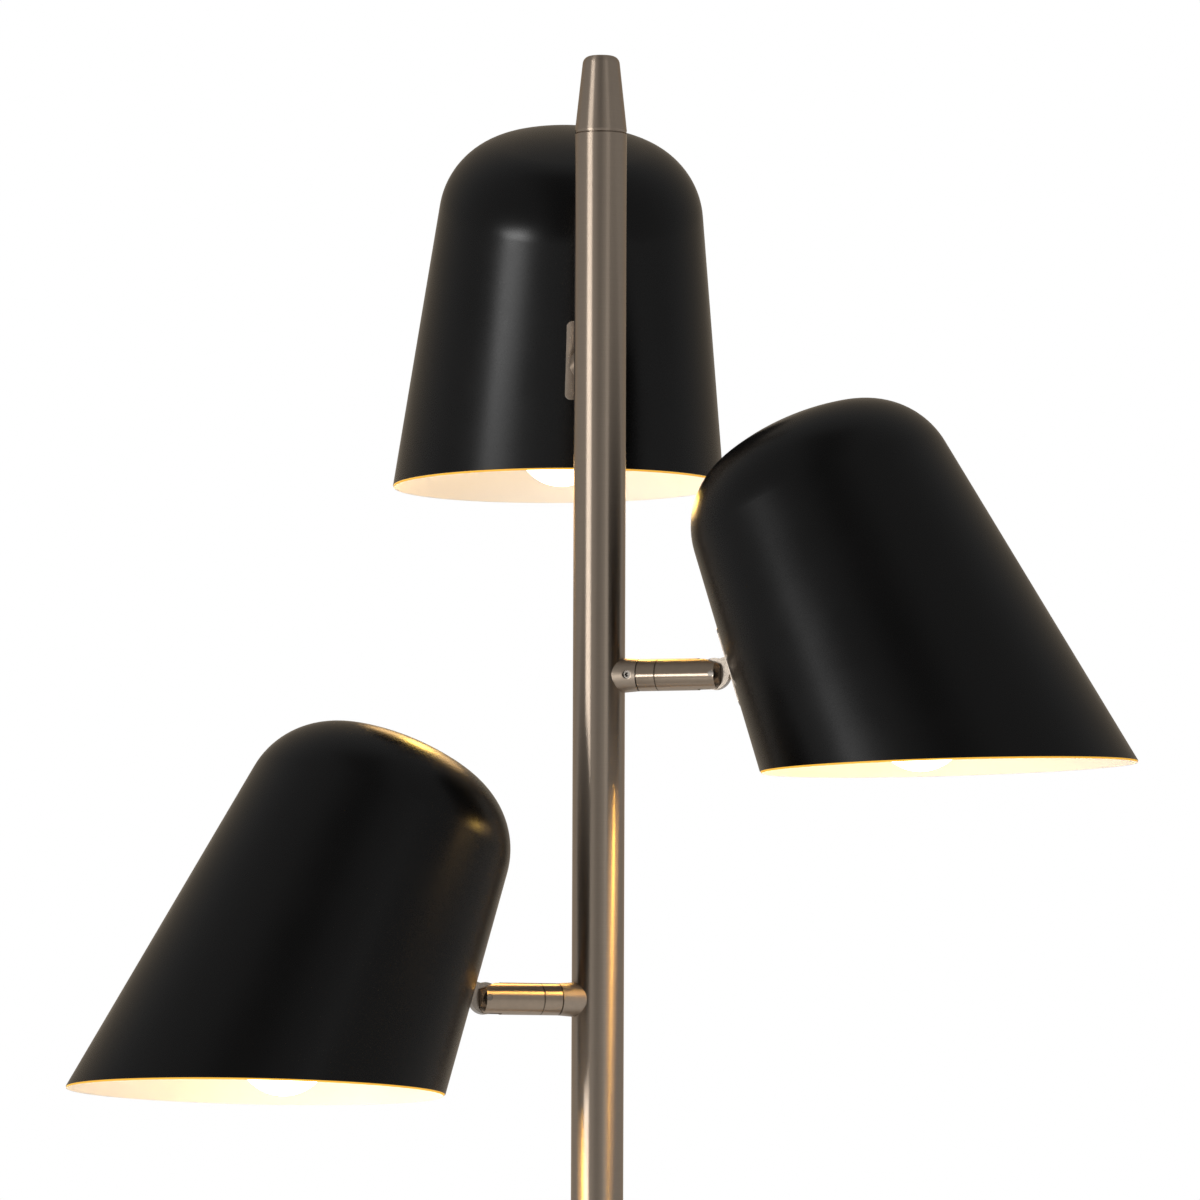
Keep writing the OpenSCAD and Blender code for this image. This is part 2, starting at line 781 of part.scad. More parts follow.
module bulb_glass(i) {
    color("ivory") at_axis(i) translate([0, 0, bulb_z]) difference() {
        globe(0, 0);
        globe(glass_t, eps);
    }
}

base_pad();
base_weight();
base_cover();
foot_tube();
foot_fasteners();
cord_grommet();
pole_lower();
pole_upper();
pole_inserts();
pole_coupler();
finial();
lamp_leads();
weld_nuts();
set_screws();
saddle(LEFT);  // left_saddle
saddle(RIGHT);  // right_saddle
saddle(TOP);  // top_saddle
stud(LEFT);  // left_stud
stud(RIGHT);  // right_stud
stud(TOP);  // top_stud
swivel_ring(LEFT);  // left_swivel_ring
swivel_ring(RIGHT);  // right_swivel_ring
swivel_ring(TOP);  // top_swivel_ring
friction_washer(LEFT);  // left_friction_washer
friction_washer(RIGHT);  // right_friction_washer
friction_washer(TOP);  // top_friction_washer
knuckle(LEFT);  // left_knuckle
knuckle(RIGHT);  // right_knuckle
knuckle(TOP);  // top_knuckle
hinge_pin(LEFT);  // left_hinge_pin
hinge_pin(RIGHT);  // right_hinge_pin
hinge_pin(TOP);  // top_hinge_pin
hinge_bracket(LEFT);  // left_hinge_bracket
hinge_bracket(RIGHT);  // right_hinge_bracket
hinge_bracket(TOP);  // top_hinge_bracket
bracket_nuts(LEFT);  // left_bracket_nuts
bracket_nuts(RIGHT);  // right_bracket_nuts
bracket_nuts(TOP);  // top_bracket_nuts
shade(LEFT);  // left_shade
shade(RIGHT);  // right_shade
shade(TOP);  // top_shade
holder_bracket(LEFT);  // left_holder_bracket
holder_bracket(RIGHT);  // right_holder_bracket
holder_bracket(TOP);  // top_holder_bracket
holder_nut(LEFT);  // left_holder_nut
holder_nut(RIGHT);  // right_holder_nut
holder_nut(TOP);  // top_holder_nut
lampholder(LEFT);  // left_lampholder
lampholder(RIGHT);  // right_lampholder
lampholder(TOP);  // top_lampholder
contact_shell(LEFT);  // left_contact_shell
contact_shell(RIGHT);  // right_contact_shell
contact_shell(TOP);  // top_contact_shell
bulb_cap(LEFT);  // left_bulb_cap
bulb_cap(RIGHT);  // right_bulb_cap
bulb_cap(TOP);  // top_bulb_cap
bulb_glass(LEFT);  // left_bulb_glass
bulb_glass(RIGHT);  // right_bulb_glass
bulb_glass(TOP);  // top_bulb_glass
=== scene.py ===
"""Floor lamp with three swivelling shades: the finish of every surface, built round the packed solids.

Lengths are metres, +Z is up, and the origin is the middle of the base's underside. Each lamp hangs on
an arm whose axes come from its swivel and tilt joints. New pieces are grids of points worked out as
whole arrays: an outline turned about an axis, or a surface given by a formula.
"""

import json
import math

import bmesh
import bpy
import numpy as np
from mathutils import Matrix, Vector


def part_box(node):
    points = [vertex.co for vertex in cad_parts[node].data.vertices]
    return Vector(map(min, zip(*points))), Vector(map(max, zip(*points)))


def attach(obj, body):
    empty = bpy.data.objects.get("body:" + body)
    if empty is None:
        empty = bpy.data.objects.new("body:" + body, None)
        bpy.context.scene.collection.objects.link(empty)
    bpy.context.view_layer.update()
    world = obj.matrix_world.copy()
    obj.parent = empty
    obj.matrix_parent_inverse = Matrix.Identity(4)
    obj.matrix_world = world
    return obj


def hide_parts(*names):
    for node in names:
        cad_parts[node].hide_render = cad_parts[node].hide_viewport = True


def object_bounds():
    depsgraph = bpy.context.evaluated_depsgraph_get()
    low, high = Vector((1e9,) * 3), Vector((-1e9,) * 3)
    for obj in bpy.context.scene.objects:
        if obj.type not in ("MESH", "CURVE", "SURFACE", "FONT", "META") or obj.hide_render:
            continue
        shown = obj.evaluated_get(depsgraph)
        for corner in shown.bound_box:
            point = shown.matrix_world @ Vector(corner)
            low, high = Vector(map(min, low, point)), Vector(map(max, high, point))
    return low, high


bl_info = {
    "name": "Three-shade floor lamp",
    "version": (1, 0, 0),
    "blender": (4, 5, 0),
    "location": "3D View > Sidebar > Floor lamp",
    "description": "Builds the shades, bulbs, pole, arms and base of a floor lamp on its packed frame",
    "category": "Object",
}

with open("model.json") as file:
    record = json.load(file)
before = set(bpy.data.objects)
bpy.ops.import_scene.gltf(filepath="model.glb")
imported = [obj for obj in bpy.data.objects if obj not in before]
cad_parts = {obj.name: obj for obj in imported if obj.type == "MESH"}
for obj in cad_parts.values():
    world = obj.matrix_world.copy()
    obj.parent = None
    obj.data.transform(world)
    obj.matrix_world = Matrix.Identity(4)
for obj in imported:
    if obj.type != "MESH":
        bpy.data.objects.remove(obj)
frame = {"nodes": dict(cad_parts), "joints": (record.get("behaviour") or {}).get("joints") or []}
CAD_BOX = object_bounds()
JOINTS = {joint["name"]: joint for joint in frame["joints"]}
LAMPS = ("left", "right", "top")
MM = 0.001
SAME_POINT = 1e-9  # metres within which two points are one


# ---- Settings ----


def length(name, description, millimetres):
    """A length, kept in metres."""
    return bpy.props.FloatProperty(
        name=name, description=description, default=millimetres * MM, unit="LENGTH", precision=5
    )


def angle(name, description, degrees):
    """An angle, kept in radians."""
    return bpy.props.FloatProperty(
        name=name, description=description, default=math.radians(degrees), unit="ROTATION"
    )


def share(name, description, value):
    """A number from 0 to 1."""
    return bpy.props.FloatProperty(
        name=name, description=description, default=value, min=0.0, max=1.0, subtype="FACTOR"
    )


def number(name, description, value):
    """A plain number from 0 up."""
    return bpy.props.FloatProperty(name=name, description=description, default=value, min=0.0)


def colour(name, description, value):
    """A linear colour."""
    return bpy.props.FloatVectorProperty(
        name=name, description=description, default=value, size=3, min=0.0, max=1.0, subtype="COLOR"
    )


class PoleSettings(bpy.types.PropertyGroup):
    """Upright tubes and the finial on them."""

    wall: length("Tube wall", "Wall of the two pole tubes", 1.2)
    edge: length("Tube edge", "Radius of the tubes' broken end edges", 0.25)
    thread_radius: length("Thread radius", "Radius of the finial's threaded stud", 5.0)
    thread_length: length("Thread length", "How far the stud reaches into the pole", 16.0)
    seam: length("Seam", "Height and depth of the shadow line under the finial", 0.6)
    bevel: length("Finial bevel", "Height of the bevel over the shadow line", 1.2)
    bevel_depth: length("Bevel depth", "How far the bevel draws in at the shadow line", 0.3)
    tip_radius: length("Tip radius", "Radius of the finial just under its rounded top", 9.0)
    tip_round: length("Tip round", "Radius of the finial's rounded top edge", 4.0)
    finish: colour("Nickel", "Colour of the brushed nickel", (0.45, 0.365, 0.288))
    roughness: share("Roughness", "Roughness of the brushed nickel", 0.35)
    brushing: share("Brushing", "How far the brush lines stretch a reflection", 1.0)


class ArmSettings(bpy.types.PropertyGroup):
    """Saddles, rings, knuckles and brackets."""

    edge: length("Broken edge", "Width of the bevel on the saddles' and brackets' edges", 0.3)
    seam_edge: length("Seam edge", "Width of the bevel where ring and knuckle meet", 0.45)
    satin: colour("Satin nickel", "Colour of the blasted saddles", (0.46, 0.375, 0.295))
    satin_roughness: share("Satin roughness", "Roughness of the blasted saddles", 0.4)
    turned: colour("Turned nickel", "Colour of the turned rings and knuckles", (0.5, 0.395, 0.3))
    turned_roughness: share("Turned roughness", "Roughness of the turned rings and knuckles", 0.32)
    turned_stretch: share("Turned stretch", "How far the turning marks stretch a reflection", 1.0)
    cut_roughness: share("Cut roughness", "Roughness of the milled faces of rings and knuckles", 0.2)
    polish: colour("Polished nickel", "Colour of the brackets", (0.42, 0.36, 0.3))
    polish_roughness: share("Polish roughness", "Roughness of the brackets", 0.24)


class ShadeSettings(bpy.types.PropertyGroup):
    """Spun shades: a black shell over an enamelled lining."""

    hinge_reach: length("Hinge reach", "Distance from the hinge pin to the shade's wall", 10.4)
    mount_radius: length("Mount radius", "Outside radius of the shade where its plate sits", 71.9)
    taper: angle("Taper", "Half angle of the shade's cone", 7.0)
    crown_height: length("Crown height", "Height of the crown above the plate's middle", 95.0)
    crown_radius: length("Crown radius", "Radius of the crown's flat dome", 122.0)
    shoulder_radius: length("Shoulder radius", "Radius of the round shoulder", 41.0)
    rim_slant: angle("Rim slant", "Angle between the rim's plane and a square cut", 23.0)
    rim_drop: length("Rim drop", "Distance from the hinge pin down to the rim's plane", 49.4)
    shell_wall: length("Shell", "Thickness of the black outer shell", 0.5)
    skin_gap: length("Skin gap", "Gap between the shell and the lining", 0.02)
    wall: length("Wall", "Thickness of shell and lining together", 0.9)
    left_lean: angle("Left lean", "Lean of the left shade towards the pole", 24.9)
    right_lean: angle("Right lean", "Lean of the right shade towards the pole", 24.5)
    top_lean: angle("Top lean", "Lean of the rear shade towards the pole", 22.4)
    paint: colour("Paint", "Colour of the black paint", (0.0011, 0.0009, 0.0008))
    paint_roughness: share("Paint roughness", "Roughness of the black paint", 0.28)
    paint_gloss: share("Paint gloss", "How much light the black paint mirrors", 0.27)
    enamel: colour("Enamel", "Colour of the white lining", (0.85, 0.82, 0.74))
    lip: length("Lip", "How far the lining reaches below the black shell", 0.8)
    # Painted glow: the lining's lip emits this colour, standing in for the bulb's light at the rim.
    lip_painted_glow: colour("Lip glow", "Colour of the light through the lining's lip", (0.75, 0.38, 0.04))
    # Painted reflection: mirror rays see the lining emit this light on top of its lit white.
    lining_painted_reflection: colour("Mirrored lining", "Light that mirrors add to the lining", (1.0, 0.6, 0.22))
    lining_painted_reflection_level: number("Mirrored level", "Brightness of the light added to the lining", 4.5)


class BulbSettings(bpy.types.PropertyGroup):
    """Globe bulbs."""

    radius: length("Globe radius", "Radius of the bulb's globe", 22.5)
    neck_length: length("Neck length", "Distance from the globe's middle to its screw cap", 35.0)
    neck_radius: length("Neck radius", "Radius of the glass where the cap starts", 6.6)
    wall: length("Glass", "Thickness of the glass", 0.8)
    drop: length("Globe drop", "How far the globe's middle lies below the plate's middle", 64.0085)
    glow: colour("Glow", "Colour of the bulb's light", (1.0, 0.715, 0.475))
    strength: number("Strength", "Brightness of the glowing glass", 8.9)
    mirrored_glow: colour("Mirrored glow", "Colour of the bulb in metal and paint", (1.0, 0.62, 0.12))
    mirrored_strength: number("Mirrored strength", "Brightness of the bulb in metal and paint", 38.0)


class BaseSettings(bpy.types.PropertyGroup):
    """Weighted round base."""

    finish: colour("Base nickel", "Colour of the turned base cover", (0.45, 0.37, 0.295))
    roughness: share("Base roughness", "Roughness of the turned base cover", 0.28)


class StageSettings(bpy.types.PropertyGroup):
    """Camera, lights and floor."""

    distance: length("Distance", "How far the camera stands in front of the pole", 4000.0)
    height: length("Height", "Height of the camera above the floor", 1054.579)
    side: length("Side", "How far the camera stands to the right of the pole", 0.368)
    pitch: angle("Pitch", "How far the camera looks up", 4.0459)
    roll: angle("Roll", "How far the camera is turned about its view", 0.2116)
    lens: number("Lens", "Focal length, in millimetres", 251.01)
    sensor: number("Sensor", "Width of the camera's sensor, in millimetres", 36.0)
    floor: colour("Floor", "Colour of the pale floor", (0.86, 0.86, 0.86))
    floor_reach: length("Floor reach", "Half the floor's width", 6000.0)
    room: number("Room light", "Level of the plain light from all round", 0.58)
    key: number("Key light", "Power of the softbox at the front left, in watts", 32.0)
    fill: number("Fill light", "Power of the dim softbox at the front right, in watts", 2.4)


SETTINGS = {
    "lamp_pole": PoleSettings,
    "lamp_arm": ArmSettings,
    "lamp_shade": ShadeSettings,
    "lamp_bulb": BulbSettings,
    "lamp_base": BaseSettings,
    "lamp_stage": StageSettings,
}


# ---- Frames ----


def unit(vectors):
    """Vectors scaled to length one along their last axis."""
    return vectors / np.linalg.norm(vectors, axis=-1, keepdims=True)


def turn_y(radians):
    """Rotation about Y: x' = x cos + z sin, z' = z cos - x sin."""
    c, s = math.cos(radians), math.sin(radians)
    return np.array([[c, 0.0, s], [0.0, 1.0, 0.0], [-s, 0.0, c]])


class Place:
    """A frame in space: columns of axes are its X, Y and Z, and origin is where it stands."""

    def __init__(self, axes=np.eye(3), origin=(0.0, 0.0, 0.0)):
        self.axes = np.asarray(axes, float)
        self.origin = np.asarray(origin, float)

    def moved(self, offset):
        """The same axes, with the origin moved by an offset along them."""
        return Place(self.axes, self.origin + self.axes @ np.asarray(offset, float))

    def turned(self, rotation):
        """The same origin, with the axes turned in their own frame."""
        return Place(self.axes @ rotation, self.origin)

    def points(self, local):
        """This frame's points, placed in the world."""
        return local @ self.axes.T + self.origin

    def directions(self, local):
        """This frame's directions, turned into the world's."""
        return local @ self.axes.T

    def local(self, world):
        """The world's points, placed in this frame."""
        return (world - self.origin) @ self.axes


def arm_place(lamp):
    """Frame at a lamp's hinge pin: X out along the swivel's axis, Y along the pin."""
    swivel, tilt = JOINTS[lamp + "_swivel"], JOINTS[lamp + "_tilt"]
    x, y = unit(np.array(swivel["axis"])), unit(np.array(tilt["axis"]))
    return Place(np.column_stack([x, y, np.cross(x, y)]), tilt["pos_m"])


def shade_place(lamp, shade):
    """Frame of a shade: Z up its own axis, origin level with the middle of its plate.

    The wall's frame is the arm's, turned by taper minus lean and moved out by the hinge's reach.
    From there the axis lies one mount radius further in, turned back by the taper.
    """
    lean = getattr(shade, lamp + "_lean")
    wall = arm_place(lamp).turned(turn_y(shade.taper - lean)).moved((shade.hinge_reach, 0, 0))
    return wall.turned(turn_y(-shade.taper)).moved((shade.mount_radius, 0, 0))


# ---- Surfaces ----


def rounded(corners, radii, closed=False, steps=6):
    """Outline through corners (r, z), each rounded by its own radius.

    The arc at a corner touches both sides at radius * tan(half the turn) from it. Its centre lies one
    radius inside the first touching point, and its points are centre + radius * normal, while the
    normal swings from the first side's to the second's. Returns points and outward normals; the
    outside is on the right of the direction of travel.
    """
    corners = np.asarray(corners, float)
    radii = np.broadcast_to(np.asarray(radii, float), len(corners))
    arriving = unit(corners - np.roll(corners, 1, axis=0))
    leaving = np.roll(arriving, -1, axis=0)
    if not closed:
        arriving[0], leaving[-1] = leaving[0], arriving[-1]
    turn = np.arctan2(
        arriving[:, 0] * leaving[:, 1] - arriving[:, 1] * leaving[:, 0], (arriving * leaving).sum(1)
    )
    side = np.column_stack([arriving[:, 1], -arriving[:, 0]])
    bend = radii * np.sign(turn)
    start = corners - arriving * (radii * np.abs(np.tan(turn / 2)))[:, None]
    centre = start - side * bend[:, None]
    swing = np.arctan2(side[:, 1], side[:, 0])[:, None] + turn[:, None] * np.linspace(0, 1, steps + 1)
    normals = np.stack([np.cos(swing), np.sin(swing)], -1)
    points = (centre[:, None] + normals * bend[:, None, None]).reshape(-1, 2)
    apart = np.r_[True, np.linalg.norm(np.diff(points, axis=0), axis=1) > SAME_POINT]
    return points[apart], normals.reshape(-1, 2)[apart]


def travel(points):
    """Distance covered along a row of points, from the first to each."""
    return np.r_[0.0, np.cumsum(np.linalg.norm(np.diff(points, axis=0), axis=1))]


def grid_mesh(name, points, normals, along, around, closed_rows):
    """Mesh of a grid points[row, column] whose columns go round and meet.

    Faces run from row to row, and from the last row back to the first if closed_rows. A row whose
    points all coincide becomes one vertex with triangles round it. The UV map "surface" holds the
    distance along the rows and the distance around, both in metres.
    """
    rows, columns = points.shape[:2]
    coinciding = np.abs(points - points[:, :1]).max((1, 2)) < SAME_POINT
    ids = np.arange(rows * columns).reshape(rows, columns)
    ids[coinciding] = ids[coinciding, :1]
    starts = np.arange(rows if closed_rows else rows - 1), np.arange(columns)
    low, left = np.meshgrid(*starts, indexing="ij")
    faces = ((low, left), (low, left + 1), (low + 1, left + 1), (low + 1, left))
    quads = np.stack([ids[row % rows, column % columns] for row, column in faces], -1).reshape(-1, 4)
    uv = np.stack([np.stack([along[row], around[column]], -1) for row, column in faces], 2)
    uv = uv.reshape(-1, 4, 2)
    keep = np.ones((len(quads), 4), bool)
    keep[:, 1] = quads[:, 0] != quads[:, 1]
    keep[:, 3] = quads[:, 2] != quads[:, 3]
    used, compact = np.unique(quads[keep], return_inverse=True)
    mesh = new_mesh(name, points.reshape(-1, 3)[used], compact.ravel(), keep.sum(1), uv[keep])
    mesh.normals_split_custom_set_from_vertices(normals.reshape(-1, 3)[used])
    return mesh


def first_corners(counts):
    """Index of each face's first corner, from the faces' corner counts."""
    return np.r_[0, np.cumsum(counts)[:-1]]


def new_mesh(name, vertices, corners, counts, uv):
    """Mesh from flat arrays: vertex places, faces' corners in turn, corner counts and corner UVs."""
    mesh = bpy.data.meshes.new(name)
    mesh.vertices.add(len(vertices))
    mesh.vertices.foreach_set("co", np.ascontiguousarray(vertices, np.float32).ravel())
    mesh.loops.add(len(corners))
    mesh.loops.foreach_set("vertex_index", np.ascontiguousarray(corners, np.int32))
    mesh.polygons.add(len(counts))
    mesh.polygons.foreach_set("loop_start", first_corners(counts).astype(np.int32))
    mesh.polygons.foreach_set("use_smooth", np.ones(len(counts), bool))
    mesh.update(calc_edges=True)
    layer = mesh.uv_layers.new(name="surface")
    layer.data.foreach_set("uv", np.ascontiguousarray(uv, np.float32).ravel())
    mesh.validate()
    return mesh


def swept(r, z, turn):
    """Points [row, turn] at (r cos turn, r sin turn, z), or normals turned the same way."""
    return np.stack([r * np.cos(turn), r * np.sin(turn), z + 0 * turn], -1)


def turned_mesh(name, outline, place=Place(), closed=False, steps=128):
    """Solid of revolution about the place's Z axis, from an outline's points and normals (r, z)."""
    points, normals = outline
    turn = np.linspace(0, 2 * math.pi, steps + 1)
    return grid_mesh(
        name,
        place.points(swept(points[:, :1], points[:, 1:], turn[:-1])),
        place.directions(swept(normals[:, :1], normals[:, 1:], turn[:-1])),
        travel(np.vstack([points, points[:1]])),
        turn * points[:, 0].max(),
        closed,
    )


def softened_copy(name, node, place, edge, flat_turn=math.radians(0.5), edge_turn=math.radians(25)):
    """A solid's own mesh, its loose triangles merged and its sharp edges broken by a narrow bevel.

    The UV map holds the distance along the place's X axis, plus what a face gains in radius, and the
    distance around it. The face attribute "turned" is 1 on faces that run along the outer round.
    """
    weld, outer_round, long_run = 0.001 * MM, 0.9, 1 * MM
    form = bmesh.new()
    form.from_mesh(frame["nodes"][node].data)
    bmesh.ops.remove_doubles(form, verts=form.verts, dist=weld)
    bmesh.ops.dissolve_limit(form, angle_limit=flat_turn, verts=form.verts, edges=form.edges)
    shape = bpy.data.meshes.new(name)
    form.to_mesh(shape)
    form.free()
    vertices = np.zeros(len(shape.vertices) * 3)
    shape.vertices.foreach_get("co", vertices)
    corners = np.zeros(len(shape.loops), int)
    shape.loops.foreach_get("vertex_index", corners)
    counts = np.zeros(len(shape.polygons), int)
    shape.polygons.foreach_get("loop_total", counts)
    bpy.data.meshes.remove(shape)
    vertices = vertices.reshape(-1, 3)
    local = place.local(vertices)
    mesh = new_mesh(name, vertices, corners, counts, around_uv(local, corners, counts))
    first = first_corners(counts)
    radius = np.hypot(local[:, 1], local[:, 2])
    along = local[corners, 0]
    run = np.maximum.reduceat(along, first) - np.minimum.reduceat(along, first)
    on_round = np.minimum.reduceat(radius[corners], first) > outer_round * radius.max()
    turned = on_round & (run > long_run)
    mesh.attributes.new("turned", "FLOAT", "FACE").data.foreach_set("value", turned.astype(np.float32))
    piece = bpy.data.objects.new(name, mesh)
    bevel = piece.modifiers.new("broken edges", "BEVEL")
    bevel.width = edge
    bevel.segments = 2
    bevel.limit_method = "ANGLE"
    bevel.angle_limit = edge_turn
    bevel.use_clamp_overlap = True
    piece.modifiers.new("normals by area", "WEIGHTED_NORMAL").mode = "FACE_AREA"
    return piece


def around_uv(local, corners, counts):
    """Corner UVs (x + radius, angle about X * mean radius).

    The first value is 0 at the outer edge where x starts. A face that crosses the half turn stays
    whole.
    """
    turn = np.arctan2(local[:, 1], local[:, 2])[corners]
    first = np.repeat(turn[first_corners(counts)], counts)
    turn = first + (turn - first + math.pi) % (2 * math.pi) - math.pi
    radius = np.hypot(local[:, 1], local[:, 2])
    along = local[:, 0] - local[:, 0].min() + radius - radius.max()
    return np.column_stack([along[corners], turn * radius.mean()])


def add_piece(name, mesh, material, body, node):
    """Shows a mesh, or an object that holds one, as a piece that stands for a solid."""
    piece = mesh if isinstance(mesh, bpy.types.Object) else bpy.data.objects.new(name, mesh)
    bpy.context.scene.collection.objects.link(piece)
    piece.data.materials.append(material)
    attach(piece, body)
    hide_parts(node)


# ---- Materials ----
# A grain's scale is the number of its patches in a metre.

HANDLING_MARKS = 420.0


def add_node(tree, kind, inputs=None, **attributes):
    """Adds a node, sets its attributes, and fills its inputs with values or links."""
    made = tree.nodes.new(kind)
    for key, value in attributes.items():
        setattr(made, key, value)
    for key, value in (inputs or {}).items():
        if isinstance(value, bpy.types.NodeSocket):
            tree.links.new(value, made.inputs[key])
        else:
            made.inputs[key].default_value = value
    return made


def empty_material(name):
    """A new material with an empty tree, and the tree."""
    material = bpy.data.materials.new(name)
    material.use_nodes = True
    material.node_tree.nodes.clear()
    return material, material.node_tree


def surfaced(material, inputs):
    """The material, with a surface that has these inputs."""
    tree = material.node_tree
    shader = add_node(tree, "ShaderNodeBsdfPrincipled", inputs)
    add_node(tree, "ShaderNodeOutputMaterial", {"Surface": shader.outputs[0]})
    return material


def maths(tree, operation, *values):
    """One step of arithmetic on values or links."""
    return add_node(tree, "ShaderNodeMath", dict(enumerate(values)), operation=operation).outputs[0]


def mixed(tree, factor, low, high):
    """A value that goes from low to high with the factor."""
    return add_node(tree, "ShaderNodeMix", {0: factor, 2: low, 3: high}).outputs[0]


def mixed_colour(tree, factor, low, high):
    """A colour that goes from low to high with the factor."""
    return add_node(tree, "ShaderNodeMix", {0: factor, 6: low, 7: high}, data_type="RGBA").outputs[2]


def grain(tree, vector, scales, detail=3.0, roughness=0.55):
    """Noise from 0 to 1, scaled by one number or by one for each of the vector's axes."""
    scales = tuple(np.broadcast_to(scales, 3))
    stretched = add_node(tree, "ShaderNodeMapping", {"Vector": vector, "Scale": scales})
    return add_node(
        tree,
        "ShaderNodeTexNoise",
        {"Vector": stretched.outputs[0], "Scale": 1.0, "Detail": detail, "Roughness": roughness},
    ).outputs[0]


def spread(tree, value, low, high, from_low=0.3, from_high=0.7):
    """Maps a range, a noise's usual one if none is given, to low and high and holds it between them."""
    return add_node(
        tree,
        "ShaderNodeMapRange",
        {"Value": value, "From Min": from_low, "From Max": from_high, "To Min": low, "To Max": high},
    ).outputs[0]


def tinted(tree, colour_value, factor):
    """A colour times a grey factor."""
    return add_node(
        tree, "ShaderNodeVectorMath", {0: tuple(colour_value), 1: factor}, operation="MULTIPLY"
    ).outputs[0]


def bumped(tree, height, distance, below=None):
    """Bump whose full height is the given distance, over another bump if one is given."""
    inputs = {"Height": height, "Distance": distance, "Strength": 1.0}
    if below is not None:
        inputs["Normal"] = below
    return add_node(tree, "ShaderNodeBump", inputs).outputs[0]


def surface_vector(tree):
    """The piece's own UV map, in metres along and around."""
    return add_node(tree, "ShaderNodeUVMap", uv_map="surface").outputs[0]


def along_surface(tree):
    """The first value of the piece's own UV map."""
    return add_node(tree, "ShaderNodeSeparateXYZ", {0: surface_vector(tree)}).outputs[0]


def surface_tangent(tree):
    """The direction in which the piece's own UV map runs."""
    return add_node(tree, "ShaderNodeTangent", direction_type="UV_MAP", uv_map="surface").outputs[0]


def object_vector(tree):
    """The piece's place in the lamp's own frame, in metres."""
    return add_node(tree, "ShaderNodeTexCoord").outputs["Object"]


def mirrored_ray(tree):
    """1 where metal or paint mirrors the surface, 0 where anything else sees it."""
    return add_node(tree, "ShaderNodeLightPath").outputs["Is Glossy Ray"]


def brushed_metal(name, colour_value, roughness, brushing, line=0.45 * MM, reach=28 * MM):
    """Nickel brushed round its axis: long fine lines, with reflections stretched along the axis."""
    material, tree = empty_material(name)
    vector = surface_vector(tree)
    lines = grain(tree, vector, (1 / line, 1 / reach, 1.0), 4.0, 0.7)
    hair = grain(tree, vector, (6 / line, 2.5 / reach, 1.0), 2.0)
    clouds = grain(tree, vector, (9.0, 14.0, 1.0), 2.0)
    both = maths(tree, "ADD", lines, hair)
    rough = spread(tree, lines, roughness - 0.02, roughness + 0.02)
    return surfaced(
        material,
        {
            "Base Color": tinted(tree, colour_value, spread(tree, both, 0.95, 1.05, 0.7, 1.3)),
            "Metallic": 1.0,
            "Roughness": maths(tree, "ADD", rough, spread(tree, clouds, -0.02, 0.02)),
            "Anisotropic": brushing,
            "Tangent": surface_tangent(tree),
            "Normal": bumped(tree, both, 0.00012 * MM),
        },
    )


def turned_metal(name, colour_value, roughness, stretch, cut_roughness):
    """Nickel with turned round sides, which stretch a reflection along the arm, and plain milled cuts.

    The face attribute "turned" is 1 on the round sides. The UV map's first value starts at the edge
    next to the pole, and the colour darkens towards it: a painted shade in the crease where two pieces
    meet.
    """
    material, tree = empty_material(name)
    # Painted shade: the colour falls to 0.3 of itself within 0.7 mm of the edge next to the pole.
    seam = spread(tree, along_surface(tree), 0.3, 1.0, 0.25 * MM, 0.7 * MM)
    marks = grain(tree, object_vector(tree), HANDLING_MARKS, 4.0, 0.6)
    rings = grain(tree, surface_vector(tree), (4000.0, 60.0, 1.0), 2.0)
    sides = add_node(tree, "ShaderNodeAttribute", attribute_name="turned").outputs["Fac"]
    rough = mixed(tree, sides, cut_roughness, roughness)
    # Handling marks times the painted seam shade.
    marks_and_seam_shade = maths(tree, "MULTIPLY", spread(tree, marks, 0.95, 1.04), seam)
    return surfaced(
        material,
        {
            "Base Color": tinted(tree, colour_value, marks_and_seam_shade),
            "Metallic": 1.0,
            "Roughness": maths(tree, "ADD", rough, spread(tree, rings, -0.01, 0.01)),
            "Anisotropic": maths(tree, "MULTIPLY", sides, stretch),
            "Tangent": surface_tangent(tree),
        },
    )


def grained_metal(name, colour_value, roughness, tooth=0.25 * MM, depth=0.002 * MM):
    """Nickel with an even fine tooth and small handling marks."""
    material, tree = empty_material(name)
    vector = object_vector(tree)
    fine = grain(tree, vector, 1 / tooth, 2.0)
    marks = grain(tree, vector, HANDLING_MARKS, 4.0, 0.6)
    return surfaced(
        material,
        {
            "Base Color": tinted(tree, colour_value, spread(tree, marks, 0.94, 1.05)),
            "Metallic": 1.0,
            "Roughness": spread(tree, marks, roughness - 0.03, roughness + 0.04),
            "Normal": bumped(tree, fine, depth),
        },
    )


